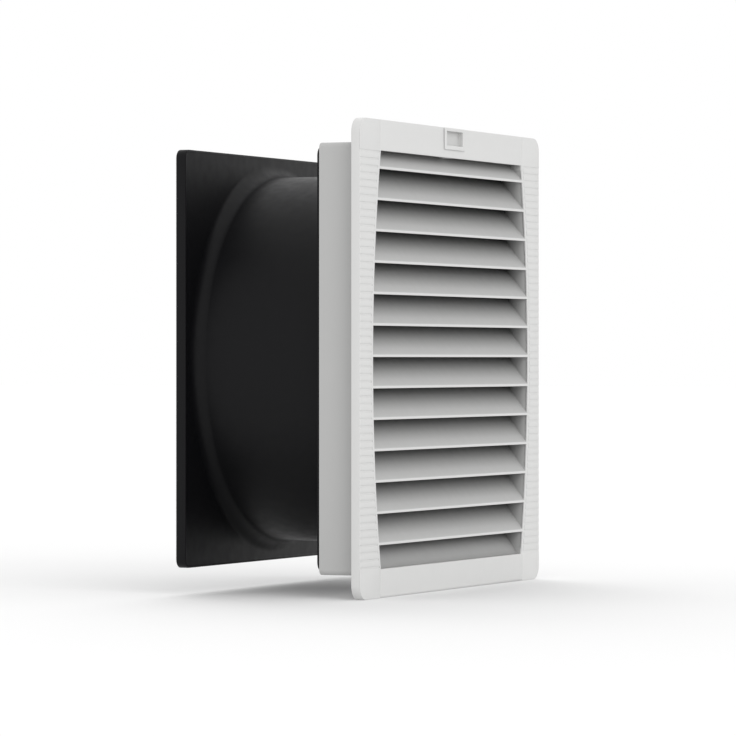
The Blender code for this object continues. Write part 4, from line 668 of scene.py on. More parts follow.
def repeated(obj, tree, **values):
    """Run a tree on an object that holds one unit, and keep the plain mesh."""
    modifier = obj.modifiers.new("repeat", "NODES")
    modifier.node_group = tree
    values["Material"] = obj.data.materials[0]
    for item in tree.interface.items_tree:
        if item.in_out == "INPUT" and item.name in values:
            modifier[item.identifier] = values[item.name]
    graph = bpy.context.evaluated_depsgraph_get()
    mesh = bpy.data.meshes.new_from_object(obj.evaluated_get(graph))
    obj.modifiers.clear()
    obj.data = mesh
    return obj


def arc_width(tree, given, height):
    """Half the width of the louvred field at a height, as a node."""
    above = node(tree, "ShaderNodeMath", {0: height, 1: given["Arc middle"]}, operation="SUBTRACT")
    square = node(tree, "ShaderNodeMath", {0: above, 1: above}, operation="MULTIPLY")
    radius = node(tree, "ShaderNodeMath", {0: given["Arc radius"], 1: 2.0}, operation="POWER")
    rest = node(tree, "ShaderNodeMath", {0: radius, 1: square}, operation="SUBTRACT")
    root = node(tree, "ShaderNodeMath", {0: rest, 1: 0.5}, operation="POWER")
    return node(tree, "ShaderNodeMath", {0: root, 1: given["Arc base"]}, operation="ADD")


def row_tree(name, sizes):
    """Start of a tree that sets copies of the unit in a row downwards."""
    tree, given = new_tree(name, ["Count", "Pitch", "Top", *sizes])
    step = node(tree, "ShaderNodeMath", {0: given["Pitch"], 1: -1.0}, operation="MULTIPLY")
    offset = node(tree, "ShaderNodeCombineXYZ", {"Z": step})
    start = node(tree, "ShaderNodeCombineXYZ", {"Z": given["Top"]})
    line = node(tree, "GeometryNodeMeshLine", {"Count": given["Count"], "Start Location": start,
                                               "Offset": offset}, mode="OFFSET", count_mode="TOTAL")
    copies = node(tree, "GeometryNodeInstanceOnPoints", {"Points": line, "Instance": given["Geometry"]})
    real = node(tree, "GeometryNodeRealizeInstances", {"Geometry": copies})
    position = node(tree, "GeometryNodeInputPosition")
    place = node(tree, "ShaderNodeSeparateXYZ", {0: position}).outputs
    return tree, given, real, place


def rib_tree():
    """Ribs from the joint with the cover, which follows an arc, to the flange's outer edge, on both sides.

    Points of the unit that lie to the left of RIB_SPLIT are its inner end, which goes to the joint.
    """
    tree, given, real, place = row_tree("flange_ribs",
                                        ["Arc base", "Arc radius", "Arc middle", "Joint", "Edge"])
    width = arc_width(tree, given, place["Z"])
    joint = node(tree, "ShaderNodeMath", {0: width, 1: given["Joint"]}, operation="ADD")
    outer = node(tree, "ShaderNodeMath", {0: place["X"], 1: given["Edge"]}, operation="ADD")
    at_joint = node(tree, "FunctionNodeCompare", {0: place["X"], 1: RIB_SPLIT * MM}, operation="LESS_THAN")
    across = node(tree, "GeometryNodeSwitch", {0: at_joint, 1: outer, 2: joint}, input_type="FLOAT")
    spot = node(tree, "ShaderNodeCombineXYZ", {"X": across, "Y": place["Y"], "Z": place["Z"]})
    right = node(tree, "GeometryNodeSetPosition", {"Geometry": real, "Position": spot})
    other = node(tree, "GeometryNodeTransform", {"Geometry": right, "Scale": (-1.0, 1.0, 1.0)})
    left = node(tree, "GeometryNodeFlipFaces", {"Mesh": other})
    both = node(tree, "GeometryNodeJoinGeometry", {"Geometry": right})
    tree.links.new(left.outputs[0], both.inputs[0])
    return close_tree(tree, given, both)


def louvre_tree():
    """Louvres whose ends follow the bowed sides, cut short along their slope at the field's top and foot."""
    tree, given, real, place = row_tree("louvres", ["Arc base", "Arc radius", "Arc middle", "Reach", "Slope",
                                                    "High limit", "Low limit"])
    over = node(tree, "ShaderNodeMath", {0: place["Z"], 1: given["High limit"]}, operation="SUBTRACT")
    over = node(tree, "ShaderNodeMath", {0: over, 1: 0.0}, operation="MAXIMUM")
    under = node(tree, "ShaderNodeMath", {0: place["Z"], 1: given["Low limit"]}, operation="SUBTRACT")
    under = node(tree, "ShaderNodeMath", {0: under, 1: 0.0}, operation="MINIMUM")
    excess = node(tree, "ShaderNodeMath", {0: over, 1: under}, operation="ADD")
    height = node(tree, "ShaderNodeMath", {0: place["Z"], 1: excess}, operation="SUBTRACT")
    back = node(tree, "ShaderNodeMath", {0: excess, 1: given["Slope"]}, operation="DIVIDE")
    depth = node(tree, "ShaderNodeMath", {0: place["Y"], 1: back}, operation="SUBTRACT")
    width = arc_width(tree, given, height)
    reach = node(tree, "ShaderNodeMath", {0: width, 1: given["Reach"]}, operation="ADD")
    across = node(tree, "ShaderNodeMath", {0: place["X"], 1: reach}, operation="MULTIPLY")
    spot = node(tree, "ShaderNodeCombineXYZ", {"X": across, "Y": depth, "Z": height})
    return close_tree(tree, given,
                      node(tree, "GeometryNodeSetPosition", {"Geometry": real, "Position": spot}))


def circle_tree():
    """Copies of the unit on a circle about the Y axis, each turned by chance, as driven screws are."""
    tree, given = new_tree("on_a_circle", ["Count", "Radius", "Turn", "Depth"])
    ring = node(tree, "GeometryNodeMeshCircle", {"Vertices": given["Count"], "Radius": given["Radius"]})
    turn = node(tree, "ShaderNodeMath", {0: given["Turn"]}, operation="RADIANS")
    spun = node(tree, "ShaderNodeCombineXYZ", {"Z": turn})
    level = node(tree, "GeometryNodeTransform", {"Geometry": ring, "Rotation": spun})
    shift = node(tree, "ShaderNodeCombineXYZ", {"Y": given["Depth"]})
    upright = node(tree, "GeometryNodeTransform", {"Geometry": level, "Rotation": (math.pi / 2, 0.0, 0.0),
                                                   "Translation": shift})
    index = node(tree, "GeometryNodeInputIndex")
    chance = node(tree, "FunctionNodeRandomValue", {"Min": -1.5, "Max": 1.5, "ID": index, "Seed": 7},
                  data_type="FLOAT")
    spin = node(tree, "ShaderNodeCombineXYZ", {"Y": chance.outputs[1]})
    return close_tree(tree, given, node(tree, "GeometryNodeInstanceOnPoints",
                                        {"Points": upright, "Instance": given["Geometry"], "Rotation": spin}))


def spin_tree():
    """Copies of the unit turned evenly round the Y axis, as blades and spokes are."""
    tree, given = new_tree("round_the_axis", ["Count"])
    dot = node(tree, "GeometryNodeMeshLine", {"Count": given["Count"], "Offset": (0.0, 0.0, 0.0)},
               mode="OFFSET", count_mode="TOTAL")
    index = node(tree, "GeometryNodeInputIndex")
    share = node(tree, "ShaderNodeMath", {0: index, 1: given["Count"]}, operation="DIVIDE")
    angle = node(tree, "ShaderNodeMath", {0: share, 1: -2 * math.pi}, operation="MULTIPLY")
    spin = node(tree, "ShaderNodeCombineXYZ", {"Y": angle})
    return close_tree(tree, given, node(tree, "GeometryNodeInstanceOnPoints",
                                        {"Points": dot, "Instance": given["Geometry"], "Rotation": spin}))


def ring_tree():
    """Concentric rings: a small soft rectangle, swept round circles of growing radius."""
    tree, given = new_tree("guard_rings", ["Count", "First", "Pitch", "Width", "Low", "High"])
    index = node(tree, "GeometryNodeInputIndex")
    grow = node(tree, "ShaderNodeMath", {0: index, 1: given["Pitch"]}, operation="MULTIPLY")
    radius = node(tree, "ShaderNodeMath", {0: grow, 1: given["First"]}, operation="ADD")
    dots = node(tree, "GeometryNodeMeshLine", {"Count": given["Count"], "Offset": (0.0, 0.0, 0.0)},
                mode="OFFSET", count_mode="TOTAL")
    loop = node(tree, "GeometryNodeCurvePrimitiveCircle", {"Resolution": 144, "Radius": 1.0})
    size = node(tree, "ShaderNodeCombineXYZ", {"X": radius, "Y": radius, "Z": 1.0})
    loops = node(tree, "GeometryNodeInstanceOnPoints", {"Points": dots, "Instance": loop, "Scale": size})
    real = node(tree, "GeometryNodeRealizeInstances", {"Geometry": loops})
    even = node(tree, "GeometryNodeSetCurveRadius", {"Curve": real, "Radius": 1.0})
    tall = node(tree, "ShaderNodeMath", {0: given["High"], 1: given["Low"]}, operation="SUBTRACT")
    box = node(tree, "GeometryNodeCurvePrimitiveQuadrilateral", {"Width": given["Width"], "Height": tall})
    soft = node(tree, "GeometryNodeFilletCurve", {"Curve": box, "Radius": GUARD_RING_SOFT * MM, "Count": 3},
                mode="POLY")
    swept = node(tree, "GeometryNodeCurveToMesh", {"Curve": even, "Profile Curve": soft})
    sum_y = node(tree, "ShaderNodeMath", {0: given["High"], 1: given["Low"]}, operation="ADD")
    middle = node(tree, "ShaderNodeMath", {0: sum_y, 1: 0.5}, operation="MULTIPLY")
    shift = node(tree, "ShaderNodeCombineXYZ", {"Y": middle})
    upright = node(tree, "GeometryNodeTransform", {"Geometry": swept, "Rotation": (math.pi / 2, 0.0, 0.0),
                                                   "Translation": shift})
    return close_tree(tree, given, upright)


def arc_values():
    return {"Arc base": ARC_BASE * MM, "Arc radius": ARC_RADIUS * MM, "Arc middle": FIELD_MIDDLE * MM}


# Mounting frame

def frame_shell():
    """Flange plate with its gasket channel, and the raised sides."""
    bm = bmesh.new()
    square = rounded_square(FLANGE, CORNER)
    opening = cover_side(SIDE_GAP + 0.3, -BOX_INSIDE, BOX_INSIDE)
    channel = rounded_square(CHANNEL_OUTSIDE, CHANNEL_CORNER)
    island = rounded_square(CHANNEL_INSIDE, CHANNEL_CORNER)
    plate(bm, square, BASE_FRONT, CHANNEL_FRONT, holes=[opening + mirrored(opening)], edges=(0, 0))
    plate(bm, square, CHANNEL_FRONT, 0, holes=[channel], edges=(0, 0.3))
    plate(bm, island, CHANNEL_FRONT, 0, holes=[rounded_square(BOX - 1, 5)], edges=(0, 0.2))
    for side in (1, -1):
        raised_side(bm, side)
    return make_object("flange_shell", bm, light_abs)


def frame_box():
    """The box through the cut-out, its inner lip and the four screw bosses."""
    bm = bmesh.new()
    inside = rounded_square(BOX_INSIDE, BOX_CORNER - (BOX - BOX_INSIDE))
    lip = rounded_square(LIP, BOX_CORNER)
    plate(bm, rounded_square(BOX, BOX_CORNER), BOX_FRONT, BOX_END, holes=[inside], edges=(0, 0.5))
    plate(bm, rounded_square(BOX - 0.6, BOX_CORNER - 0.6), LIP_FRONT, BOX_END - 0.02, holes=[lip],
          edges=(0.3, 0.5))
    for sign_x in (-1, 1):
        for sign_z in (-1, 1):
            boss = rounded_square(BOSS_HALF, 1.2, 3, (sign_x * BOSS, sign_z * BOSS))
            plate(bm, boss, BOSS_FRONT, BOX_END - 0.3, edges=(0.4, 0))
    # The box takes the darker copy of the plastic, whose colour is painted shade from the flange
    return make_object("frame_box", bm, shaded_grey_abs)


def raised_side(bm, side):
    """One raised side of the flange: a sunk strip that carries the ribs, and a flush block at each end."""
    corner = FLANGE - CORNER
    high = arc((corner, corner), CORNER, 90, 0, 10)
    low = arc((corner, -corner), CORNER, 0, -90, 10)
    inner = cover_side(SIDE_GAP, -FLANGE, FLANGE)
    top_end = RIB_TOP + RIB_GROOVE / 2
    foot_end = RIB_TOP - RIB_COUNT * RIB_PITCH - RIB_GROOVE / 2
    top = [point for point in inner if point[1] > top_end]
    top = [(top[0][0], top_end)] + top + high + [(FLANGE, top_end)]
    foot = [point for point in inner if point[1] < foot_end]
    foot = foot + [(foot[-1][0], foot_end), (FLANGE, foot_end)] + low
    sunk = FRONT + RIB_DEPTH
    for outline, front, back, edge in ((inner + high + low, sunk, BASE_FRONT, 0.06),
                                       (top, FRONT, sunk + 0.1, 0.4), (foot, FRONT, sunk + 0.1, 0.4)):
        if side < 0:
            outline = mirrored(outline)
        plate(bm, outline, front, back, edges=(edge, 0), steps=3)


def rib_unit():
    """One rib lying along X: its outer end is rounded at x = 0, its inner end waits far to the left."""
    half = (RIB_PITCH - RIB_GROOVE) / 2
    back = FRONT + RIB_DEPTH + 0.3
    loops = []
    for x, inset in ((RIB_FAR_END, 0.0), (-0.7, 0.0), (-0.35, 0.08), (-0.1, 0.22), (0.0, 0.36)):
        round_middle = FRONT + inset + RIB_SOFT
        section = [(back, -half)] + arc((round_middle, -half + RIB_SOFT), RIB_SOFT, 270, 180, 3)
        section += arc((round_middle, half - RIB_SOFT), RIB_SOFT, 180, 90, 3) + [(back, half)]
        loops.append([side_plane(y, z, x) for y, z in section])
    return make_object("flange_ribs", loft(bmesh.new(), loops), light_abs)


ribs = repeated(rib_unit(), rib_tree(), Count=RIB_COUNT, Pitch=RIB_PITCH * MM,
                Top=(RIB_TOP - RIB_PITCH / 2) * MM, Joint=(RIM + SIDE_GAP + 0.1) * MM,
                Edge=(FLANGE - 0.02) * MM, **arc_values())
for piece in (frame_shell(), frame_box(), ribs):
    stand_for(piece, "unit", "light_grey_plastic", "mounting_frame")


# Louvred cover

def cover_shell():
    """Front skin with its latch window, walls behind the bars and the roll at the foot."""
    bm = bmesh.new()
    side = cover_side(0, HINGE_Z, FLANGE)
    field = [(FIELD_END, FIELD_BOTTOM)] + field_side(0, FIELD_BOTTOM + JOG, FIELD_TOP - JOG)
    field.append((FIELD_END, FIELD_TOP))
    plate(bm, side + mirrored(side), FRONT, FRONT + SKIN,
          holes=[field + mirrored(field), rectangle(*LATCH_WINDOW)], edges=(0.35, 0), steps=3)
    half = BAR_HALF - COVER_WALL_INSET
    low, high = HINGE_Z + COVER_WALL_INSET, FIELD_BOTTOM - COVER_WALL_INSET
    hollow = rectangle(-half + COVER_WALL, low + COVER_WALL, half - COVER_WALL, high - COVER_WALL)
    plate(bm, rectangle(-half, low, half, high), COVER_WALL_FRONT, COVER_BACK, holes=[hollow],
          edges=(0, 0.25))
    low, high = FIELD_TOP + COVER_WALL_INSET, FLANGE - COVER_WALL_INSET
    wall = [(LATCH_ROOM, low), (half, low), (half, high)]
    room = [(half - COVER_WALL, high - COVER_WALL), (half - COVER_WALL, low + COVER_WALL),
            (LATCH_ROOM, low + COVER_WALL)]
    plate(bm, wall + mirrored(wall) + mirrored(room) + room, COVER_WALL_FRONT, COVER_BACK,
          edges=(0, 0.25))
    roll = arc((HINGE_Y, HINGE_Z), ROLL, 180, 360, 16)
    roll += [(COVER_BACK, HINGE_Z + COVER_WALL), (FRONT + 0.03, HINGE_Z + COVER_WALL)]
    plate(bm, roll, -BAR_HALF, BAR_HALF, edges=(0.3, 0.3), plane=side_plane)
    return make_object("cover_shell", bm, light_abs)


def cover_inside():
    """Rims beside the louvres, with a short wall at each corner of the field."""
    bm = bmesh.new()
    low, high = FIELD_BOTTOM + JOG, FIELD_TOP - JOG
    wall = field_side(RIM, low, high) + field_side(0, low, high)[::-1]
    side = BAR_HALF - COVER_WALL_INSET
    corners = [rectangle(FIELD_END, high - 1, side, FIELD_TOP + COVER_WALL_INSET),
               rectangle(FIELD_END, FIELD_BOTTOM - COVER_WALL_INSET, side, low + 1)]
    for outline in (wall, *corners):
        for part in (outline, mirrored(outline)):
            plate(bm, part, COVER_WALL_FRONT, COVER_DEPTH, edges=(0, 0.4))
    # The rims carry painted shade that dims them towards the inside
    return make_object("cover_inside", bm, shaded_rim_plastic)


def cover_stiffeners():
    """Three thin bars that tie the rear edges of the louvres together."""
    bm = bmesh.new()
    for x in STIFFENERS:
        bar = rectangle(x - STIFFENER_HALF, FIELD_BOTTOM + STIFFENER_FOOT, x + STIFFENER_HALF,
                        FIELD_TOP - STIFFENER_HEAD)
        plate(bm, bar, STIFFENER_FRONT, STIFFENER_BACK, edges=(0.05, 0.2))
    # The stiffeners take the same darker copy, whose colour is painted shade
    return make_object("cover_stiffeners", bm, shaded_grey_abs)


def louvre_unit():
    """One louvre from x = -1 to 1 m: a rounded front edge, then a slope up and back."""
    front = FRONT + LOUVRE_SETBACK
    rear = front + LOUVRE_DEPTH
    top = LOUVRE_LIP + LOUVRE_SLOPE * LOUVRE_DEPTH
    section = [(front, 0), (front, LOUVRE_LIP), (rear, top), (rear, top - LOUVRE_REAR),
               (front + LOUVRE_UNDERCUT / LOUVRE_SLOPE, 0)]
    section = eased(section, 0.32, 3)
    loops = [[side_plane(y, z, x) for y, z in section] for x in (-1000, 1000)]
    # The louvres carry painted shade that dims them with depth
    return make_object("louvres", loft(bmesh.new(), loops), shaded_louvre_plastic)


louvre_limits = {"High limit": LOUVRE_HIGH * MM, "Low limit": LOUVRE_LOW * MM}
louvres = repeated(louvre_unit(), louvre_tree(), Count=LOUVRE_COUNT, Pitch=LOUVRE_PITCH * MM,
                   Top=LOUVRE_TOP * MM, Reach=0.5 * RIM * MM, Slope=LOUVRE_SLOPE, **louvre_limits,
                   **arc_values())
for piece in (cover_shell(), cover_inside(), cover_stiffeners(), louvres):
    stand_for(piece, "cover", "light_grey_plastic", "louvre_cover")


# Latch button

finger_recess = eased(rectangle(*RECESS), 0.6)


def latch_recess():
    """The sunk finger recess behind the face."""
    bm = plate(bmesh.new(), rectangle(*RECESS_BLOCK), LATCH_FACE_BACK - 0.1, WING_BACK - 0.15,
               holes=[finger_recess], edges=(0, 0))
    plate(bm, grown(finger_recess, 0.4), -3.8, WING_BACK - 0.05, edges=(0, 0))
    # The recess takes the darker copy of the plastic, whose colour is painted shade
    return make_object("latch_button_recess", bm, shaded_recess_plastic)


def latch_button():
    """Framed face over the window, wings behind the bar, and the arm with its nose."""
    bm = bmesh.new()
    face = eased(rectangle(*LATCH_FACE), 0.7)
    plate(bm, face, LATCH_FRONT, LATCH_FACE_BACK, holes=[finger_recess], edges=(0.4, 0.1), steps=3)
    for wing in (rectangle(-WING_TIP, WING_LOW, -WING_ROOT, WING_HIGH),
                 rectangle(WING_ROOT, WING_LOW, WING_TIP, WING_HIGH)):
        plate(bm, wing, WING_FRONT, WING_BACK, edges=(0.2, 0.2))
    nose = [(2.9, 139.35), (2.9, 140.0), (1.8, 141.1), (0.7, 141.1), (0.7, 140.4)]
    arm = [(WING_FRONT, 139.35), *nose, (WING_BACK, 140.4), (WING_BACK, WING_LOW), (WING_FRONT, WING_LOW)]
    plate(bm, eased(arm, 0.25), -ARM_HALF, ARM_HALF, edges=(0.2, 0.2), plane=side_plane)
    return make_object("latch_button_face", bm, light_abs)


for piece in (latch_button(), latch_recess()):
    stand_for(piece, "latch", "light_grey_plastic", "latch_button")


# Latch springs

def ribbon(points, thickness):
    """Outline of a thin strip bent along a row of points."""
    left, right = [], []
    for i, here in enumerate(points):
        before, after = Vector(points[max(i - 1, 0)]), Vector(points[min(i + 1, len(points) - 1)])
        along = (after - before).normalized()
        across = Vector((-along.y, along.x)) * thickness / 2
        left.append(tuple(Vector(here) + across))
        right.append(tuple(Vector(here) - across))
    return left + right[::-1]


def latch_spring(name, side):
    """A folded leaf spring: five level leaves joined by round bends, between the bar's rib and the wing."""
    bend = SPRING_RISE / 2
    near, far = SPRING_NEAR + bend, SPRING_FAR - bend
    path = [(near, SPRING_LOW)]
    for leaf in range(4):
        end, turn = (far, 1) if leaf % 2 == 0 else (near, -1)
        path += arc((end, SPRING_LOW + leaf * SPRING_RISE + bend), bend, -90, -90 + 180 * turn, 8)
    path.append((far, SPRING_LOW + 4 * SPRING_RISE))
    outline = ribbon([(side * x, z) for x, z in path], SPRING_LEAF)
    return make_object(name, plate(bmesh.new(), outline, WING_FRONT, WING_BACK, edges=(0, 0)), spring_steel)


for part, side in (("latch_spring_left", -1), ("latch_spring_right", 1)):
    spring = stand_for(latch_spring(part + "_leaves", side), "cover", "spring_steel", part)
    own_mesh(spring)


# Filter mat and grille

def mat_relief(u, v, side):
    """How far the mat's surface sinks below its flat face at one spot."""
    edge = min(MAT - abs(u), MAT - abs(v))
    fall = max(0.0, 1 - edge / MAT_EDGE) ** 2 * MAT_EDGE_FALL
    swell = noise.noise(Vector((u * 0.035, v * 0.035, side * 9.0))) * 0.45
    swell += noise.noise(Vector((u * 0.16, v * 0.16, side * 5.0))) * 0.28
    return fall + MAT_SINK - swell * (1 if edge > 1 else 0)


def filter_mat():
    """A needled fibre mat: soft edges, a slightly quilted front and uneven thickness."""
    last = MAT_STEPS
    bm = bmesh.new()
    rims = []
    for y, side in ((MAT_FRONT, 1), (MAT_BACK, -1)):
        grid = []
        for i in range(last + 1):
            row = []
            for j in range(last + 1):
                u = -MAT + 2 * MAT * i / last
                v = -MAT + 2 * MAT * j / last
                shrink = 0.996 if i in (0, last) or j in (0, last) else 1.0
                row.append(bm.verts.new((u * shrink, y + side * mat_relief(u, v, side), v * shrink)))
            grid.append(row)
        for i in range(last):
            for j in range(last):
                bm.faces.new([grid[i][j], grid[i + 1][j], grid[i + 1][j + 1], grid[i][j + 1]])
        rim = [grid[i][0] for i in range(last)] + [grid[last][j] for j in range(last)]
        rim += [grid[i][last] for i in range(last, 0, -1)] + [grid[0][j] for j in range(last, 0, -1)]
        rims.append(rim)
    middle = []
    for a, b in zip(*rims):
        spot = (a.co + b.co) / 2
        scale = MAT / max(abs(spot.x), abs(spot.z))
        middle.append(bm.verts.new((spot.x * scale, spot.y, spot.z * scale)))
    skin(bm, [rims[0], middle, rims[1]])
    return make_object("filter_mat_fibre", bm, fibre_mat)


def filter_grille():
    """The slotted grille behind the mat, with cut corners that clear the screw bosses."""
    outline = []
    for corner in range(4):
        for u, v in ((GRILLE, GRILLE_NOTCH), (GRILLE_NOTCH, GRILLE_NOTCH), (GRILLE_NOTCH, GRILLE)):
            for _ in range(corner):
                u, v = -v, u
            outline.append((u, v))
    holes = []
    columns = int((2 * GRILLE - GRILLE_BAR) / GRILLE_PITCH)
    reach = GRILLE - GRILLE_FRAME
    for column in range(columns):
        x = (column - (columns - 1) / 2) * GRILLE_PITCH
        for low in (-reach, GRILLE_BAR):
            slot = rectangle(x - GRILLE_SLOT_HALF, low, x + GRILLE_SLOT_HALF, low + reach - GRILLE_BAR)
            holes.append(eased(slot, 1.2))
    bm = plate(bmesh.new(), outline, GRILLE_FRONT, GRILLE_BACK, holes=holes, edges=(0.4, 0.4))
    return make_object("filter_grille_plate", bm, light_abs)


mat = stand_for(filter_mat(), "unit", "filter_fibre", "filter_mat")
stand_for(filter_grille(), "unit", "light_grey_plastic", "filter_grille")


# Fan housing

def duct_section():
    """Wall section of the duct: a straight tube that flares softly into the rear plate."""
    start = HOUSING_FRONT + 1.1
    outer = [(DUCT, start)]
    inner = []
    for i in range(17):
        share = i / 16
        turn = share * math.pi / 2
        bend = 1 - math.cos(turn)
        outer.append((DUCT + (FLARE - DUCT) * (0.1 * share + 0.9 * bend),
                      CREASE + (PLATE_FRONT - CREASE) * math.sin(turn)))
        inner.append((DUCT_INSIDE + (FLARE - DUCT) * bend, CREASE + share * (PLATE_BACK - CREASE)))
    outer.append((FLARE, PLATE_BACK))
    return outer + inner[::-1] + [(DUCT_INSIDE, start)]


def fan_housing():
    """Front flange, duct, rimmed rear plate with its ribs and screw posts, and the terminal compartment."""
    bm = bmesh.new()
    square = rounded_square(HOUSING, HOUSING_CORNER)
    plate(bm, square, HOUSING_FRONT, HOUSING_FLANGE_BACK, holes=[circle(DUCT_INSIDE, ROUND_STEPS)],
          edges=(0.3, 0.4), steps=3)
    turned(bm, duct_section(), ROUND_STEPS)
    rim_inside = rounded_square(HOUSING - RIM_WALL, HOUSING_CORNER - RIM_WALL)
    plate(bm, square, PLATE_FRONT, RIM_BACK, holes=[rim_inside], edges=(0.5, 0.6), steps=3)
    plate(bm, grown(rim_inside, 0.5), PLATE_FRONT + 0.01, PLATE_BACK,
          holes=[circle(FLARE - 0.7, ROUND_STEPS)], edges=(0, 0))
    for corner, (sign_x, sign_z) in enumerate(((1, 1), (-1, 1), (-1, -1), (1, -1))):
        for offset in (30, 60):
            rib = plate(bmesh.new(), rectangle(GUARD_EDGE + 0.6, -1, CORNER_RIB_END, 1), PLATE_BACK - 0.5,
                        RIM_BACK - 0.6, edges=(0, 0.4))
            joined(bm, placed(rib, Matrix.Rotation(-math.radians(corner * 90 + offset), 4, "Y")))
        centre = (sign_x * GUARD_SCREWS, sign_z * GUARD_SCREWS)
        plate(bm, circle(SCREW_POST, 32, centre), PLATE_BACK - 0.5, GUARD_POST_BACK,
              holes=[circle(SCREW_HOLE, 24, centre)], edges=(0, 0.3))
    plate(bm, rounded_square(COMPARTMENT_HALF, COMPARTMENT_CORNER, 8, COMPARTMENT),
          HOUSING_FLANGE_BACK - 0.5, COMPARTMENT_BACK,
          holes=[rounded_square(COMPARTMENT_INSIDE, 1, 4, COMPARTMENT)], edges=(0, 0.3))
    plate(bm, circle(SCREW_POST, 24, LID_SCREW), HOUSING_FLANGE_BACK - 0.5, LID_POST_BACK, edges=(0, 0.3))
    return make_object("fan_housing_shell", bm, black_nylon)


stand_for(fan_housing(), "unit", "black_plastic", "fan_housing")


def terminal_lid():
    """Lid of the compartment, with the holes of its screw and of the motor lead."""
    outline = rounded_square(COMPARTMENT_HALF, COMPARTMENT_CORNER, 8, COMPARTMENT)
    holes = [circle(1.9, 20, LEAD_HOLE), circle(1.26, 16, LID_SCREW)]
    bm = plate(bmesh.new(), outline, LID_FRONT, LID_BACK, edges=(0.2, 0.6), steps=3, holes=holes)
    return make_object("terminal_lid_plate", bm, black_nylon)


stand_for(terminal_lid(), "unit", "black_plastic", "terminal_lid")


# Rear guard

def guard_body():
    """The hub plate that carries the motor, the outer band and its four screw lugs."""
    bm = bmesh.new()
    screws = arc((0, 0), MOTOR_SCREWS, MOTOR_SCREW_TURN, MOTOR_SCREW_TURN + 360, 4)[:-1]
    plate(bm, circle(GUARD_HUB, 128), GUARD_FRONT, GUARD_BACK,
          holes=[circle(SCREW_HOLE, 16, point) for point in screws], edges=(0.3, 0.8), steps=3)
    plate(bm, circle(GUARD_EDGE, ROUND_STEPS), GUARD_FRONT, GUARD_BACK,
          holes=[circle(GUARD_OPEN, ROUND_STEPS)], edges=(0.3, 0.6), steps=3)
    for corner in range(4):
        middle = 45 + 90 * corner
        along = Vector((math.cos(math.radians(middle)), math.sin(math.radians(middle))))
        across = Vector((-along.y, along.x)) * GUARD_LUG
        root = along * (GUARD_EDGE - 2.7)
        centre = along * GUARD_SCREWS * math.sqrt(2)
        outline = arc(centre, GUARD_LUG, middle - 90, middle + 90, 20)
        outline += [tuple(root + across), tuple(root - across)]
        plate(bm, outline, GUARD_LUG_FRONT, GUARD_BACK - 0.1, holes=[circle(SCREW_HOLE, 20, centre)],
              edges=(0.2, 0.5), steps=3)
    return make_object("guard_band", bm, impeller_nylon)


def spoke_unit():
    """One swirled spoke from the hub plate to the outer band, with rounded edges."""
    left, right = [], []
    for i in range(25):
        radius = GUARD_HUB - 1 + (GUARD_OPEN - GUARD_HUB + 3) * i / 24
        swirl = math.radians(GUARD_SWIRL) * (radius - GUARD_HUB) / (GUARD_OPEN - GUARD_HUB)
        half = GUARD_SPOKE_HALF / radius
        for side, angle in ((left, swirl - half), (right, swirl + half)):
            side.append((radius * math.cos(angle), radius * math.sin(angle)))
    outline = left + right[::-1]
    bm = plate(bmesh.new(), outline, GUARD_FRONT + 0.05, GUARD_BACK - 0.05, edges=(0.5, 0.7), steps=3)
    return make_object("guard_spokes", bm, impeller_nylon)


# The rings' tree makes its own section; the unit only carries the material
ring_unit = make_object("guard_rings", turned(bmesh.new(), [(1, 0), (2, 0), (2, 1)], 8), impeller_nylon)
rings = repeated(ring_unit, ring_tree(), Count=4, Pitch=GUARD_RING_PITCH * MM,
                 First=(GUARD_HUB + GUARD_RING_PITCH - GUARD_RING / 2) * MM, Width=GUARD_RING * MM,
                 Low=GUARD_FRONT * MM + 0.0001, High=GUARD_BACK * MM - 0.0001)
for piece in (guard_body(), repeated(spoke_unit(), spin_tree(), Count=GUARD_SPOKES), rings):
    stand_for(piece, "unit", "black_plastic", "rear_guard")


# Impeller

def blade_section(share):
    """Outline of the blade as (along, across) shares of its chord, thick near its rounded nose."""
    camber = BLADE_CAMBER * (1 - 0.4 * share)
    upper, lower = [], []
    for i in range(19):
        s = (1 - math.cos(math.pi * i / 18)) / 2
        line = 4 * camber * s * (1 - s)
        tail = 0.18 * min(1.0, 6 * s + 0.2, 6 * (1 - s) + 0.2)
        half = BLADE_THICKNESS * (2.6 * math.sqrt(s) * (1 - s) + tail)
        upper.append((s - 0.5, line + half))
        lower.append((s - 0.5, line - half))
    return upper + lower[::-1]


def blade_unit():
    """One twisted and swept blade with a rounded nose."""
    root = HUB - 1.5
    middle = HUB_FRONT + (HUB_BACK - HUB_FRONT) / 2 + 1
    bm = bmesh.new()
    rings = []
    for i in range(17):
        share = i / 16
        radius = root + (BLADE_TIP - root) * share
        chord = BLADE_CHORD + BLADE_CHORD_GAIN * share
        stagger = math.radians(BLADE_STAGGER + BLADE_STAGGER_GAIN * share)
        sweep = math.radians(BLADE_SWEEP) * share ** 1.6
        ring = []
        for along, across in blade_section(share):
            tangent = chord * (along * math.sin(stagger) + across * math.cos(stagger))
            axial = chord * (along * math.cos(stagger) - across * math.sin(stagger))
            angle = tangent / radius + sweep
            ring.append(bm.verts.new((radius * math.cos(angle), middle + axial, radius * math.sin(angle))))
        rings.append(ring)
    skin(bm, rings)
    for ring in (rings[0], rings[-1]):
        last = len(ring) - 1
        for i in range(len(ring) // 2 - 1):
            bm.faces.new([ring[i], ring[i + 1], ring[last - i - 1], ring[last - i]])
    return make_object("impeller_blades", bm, impeller_nylon)


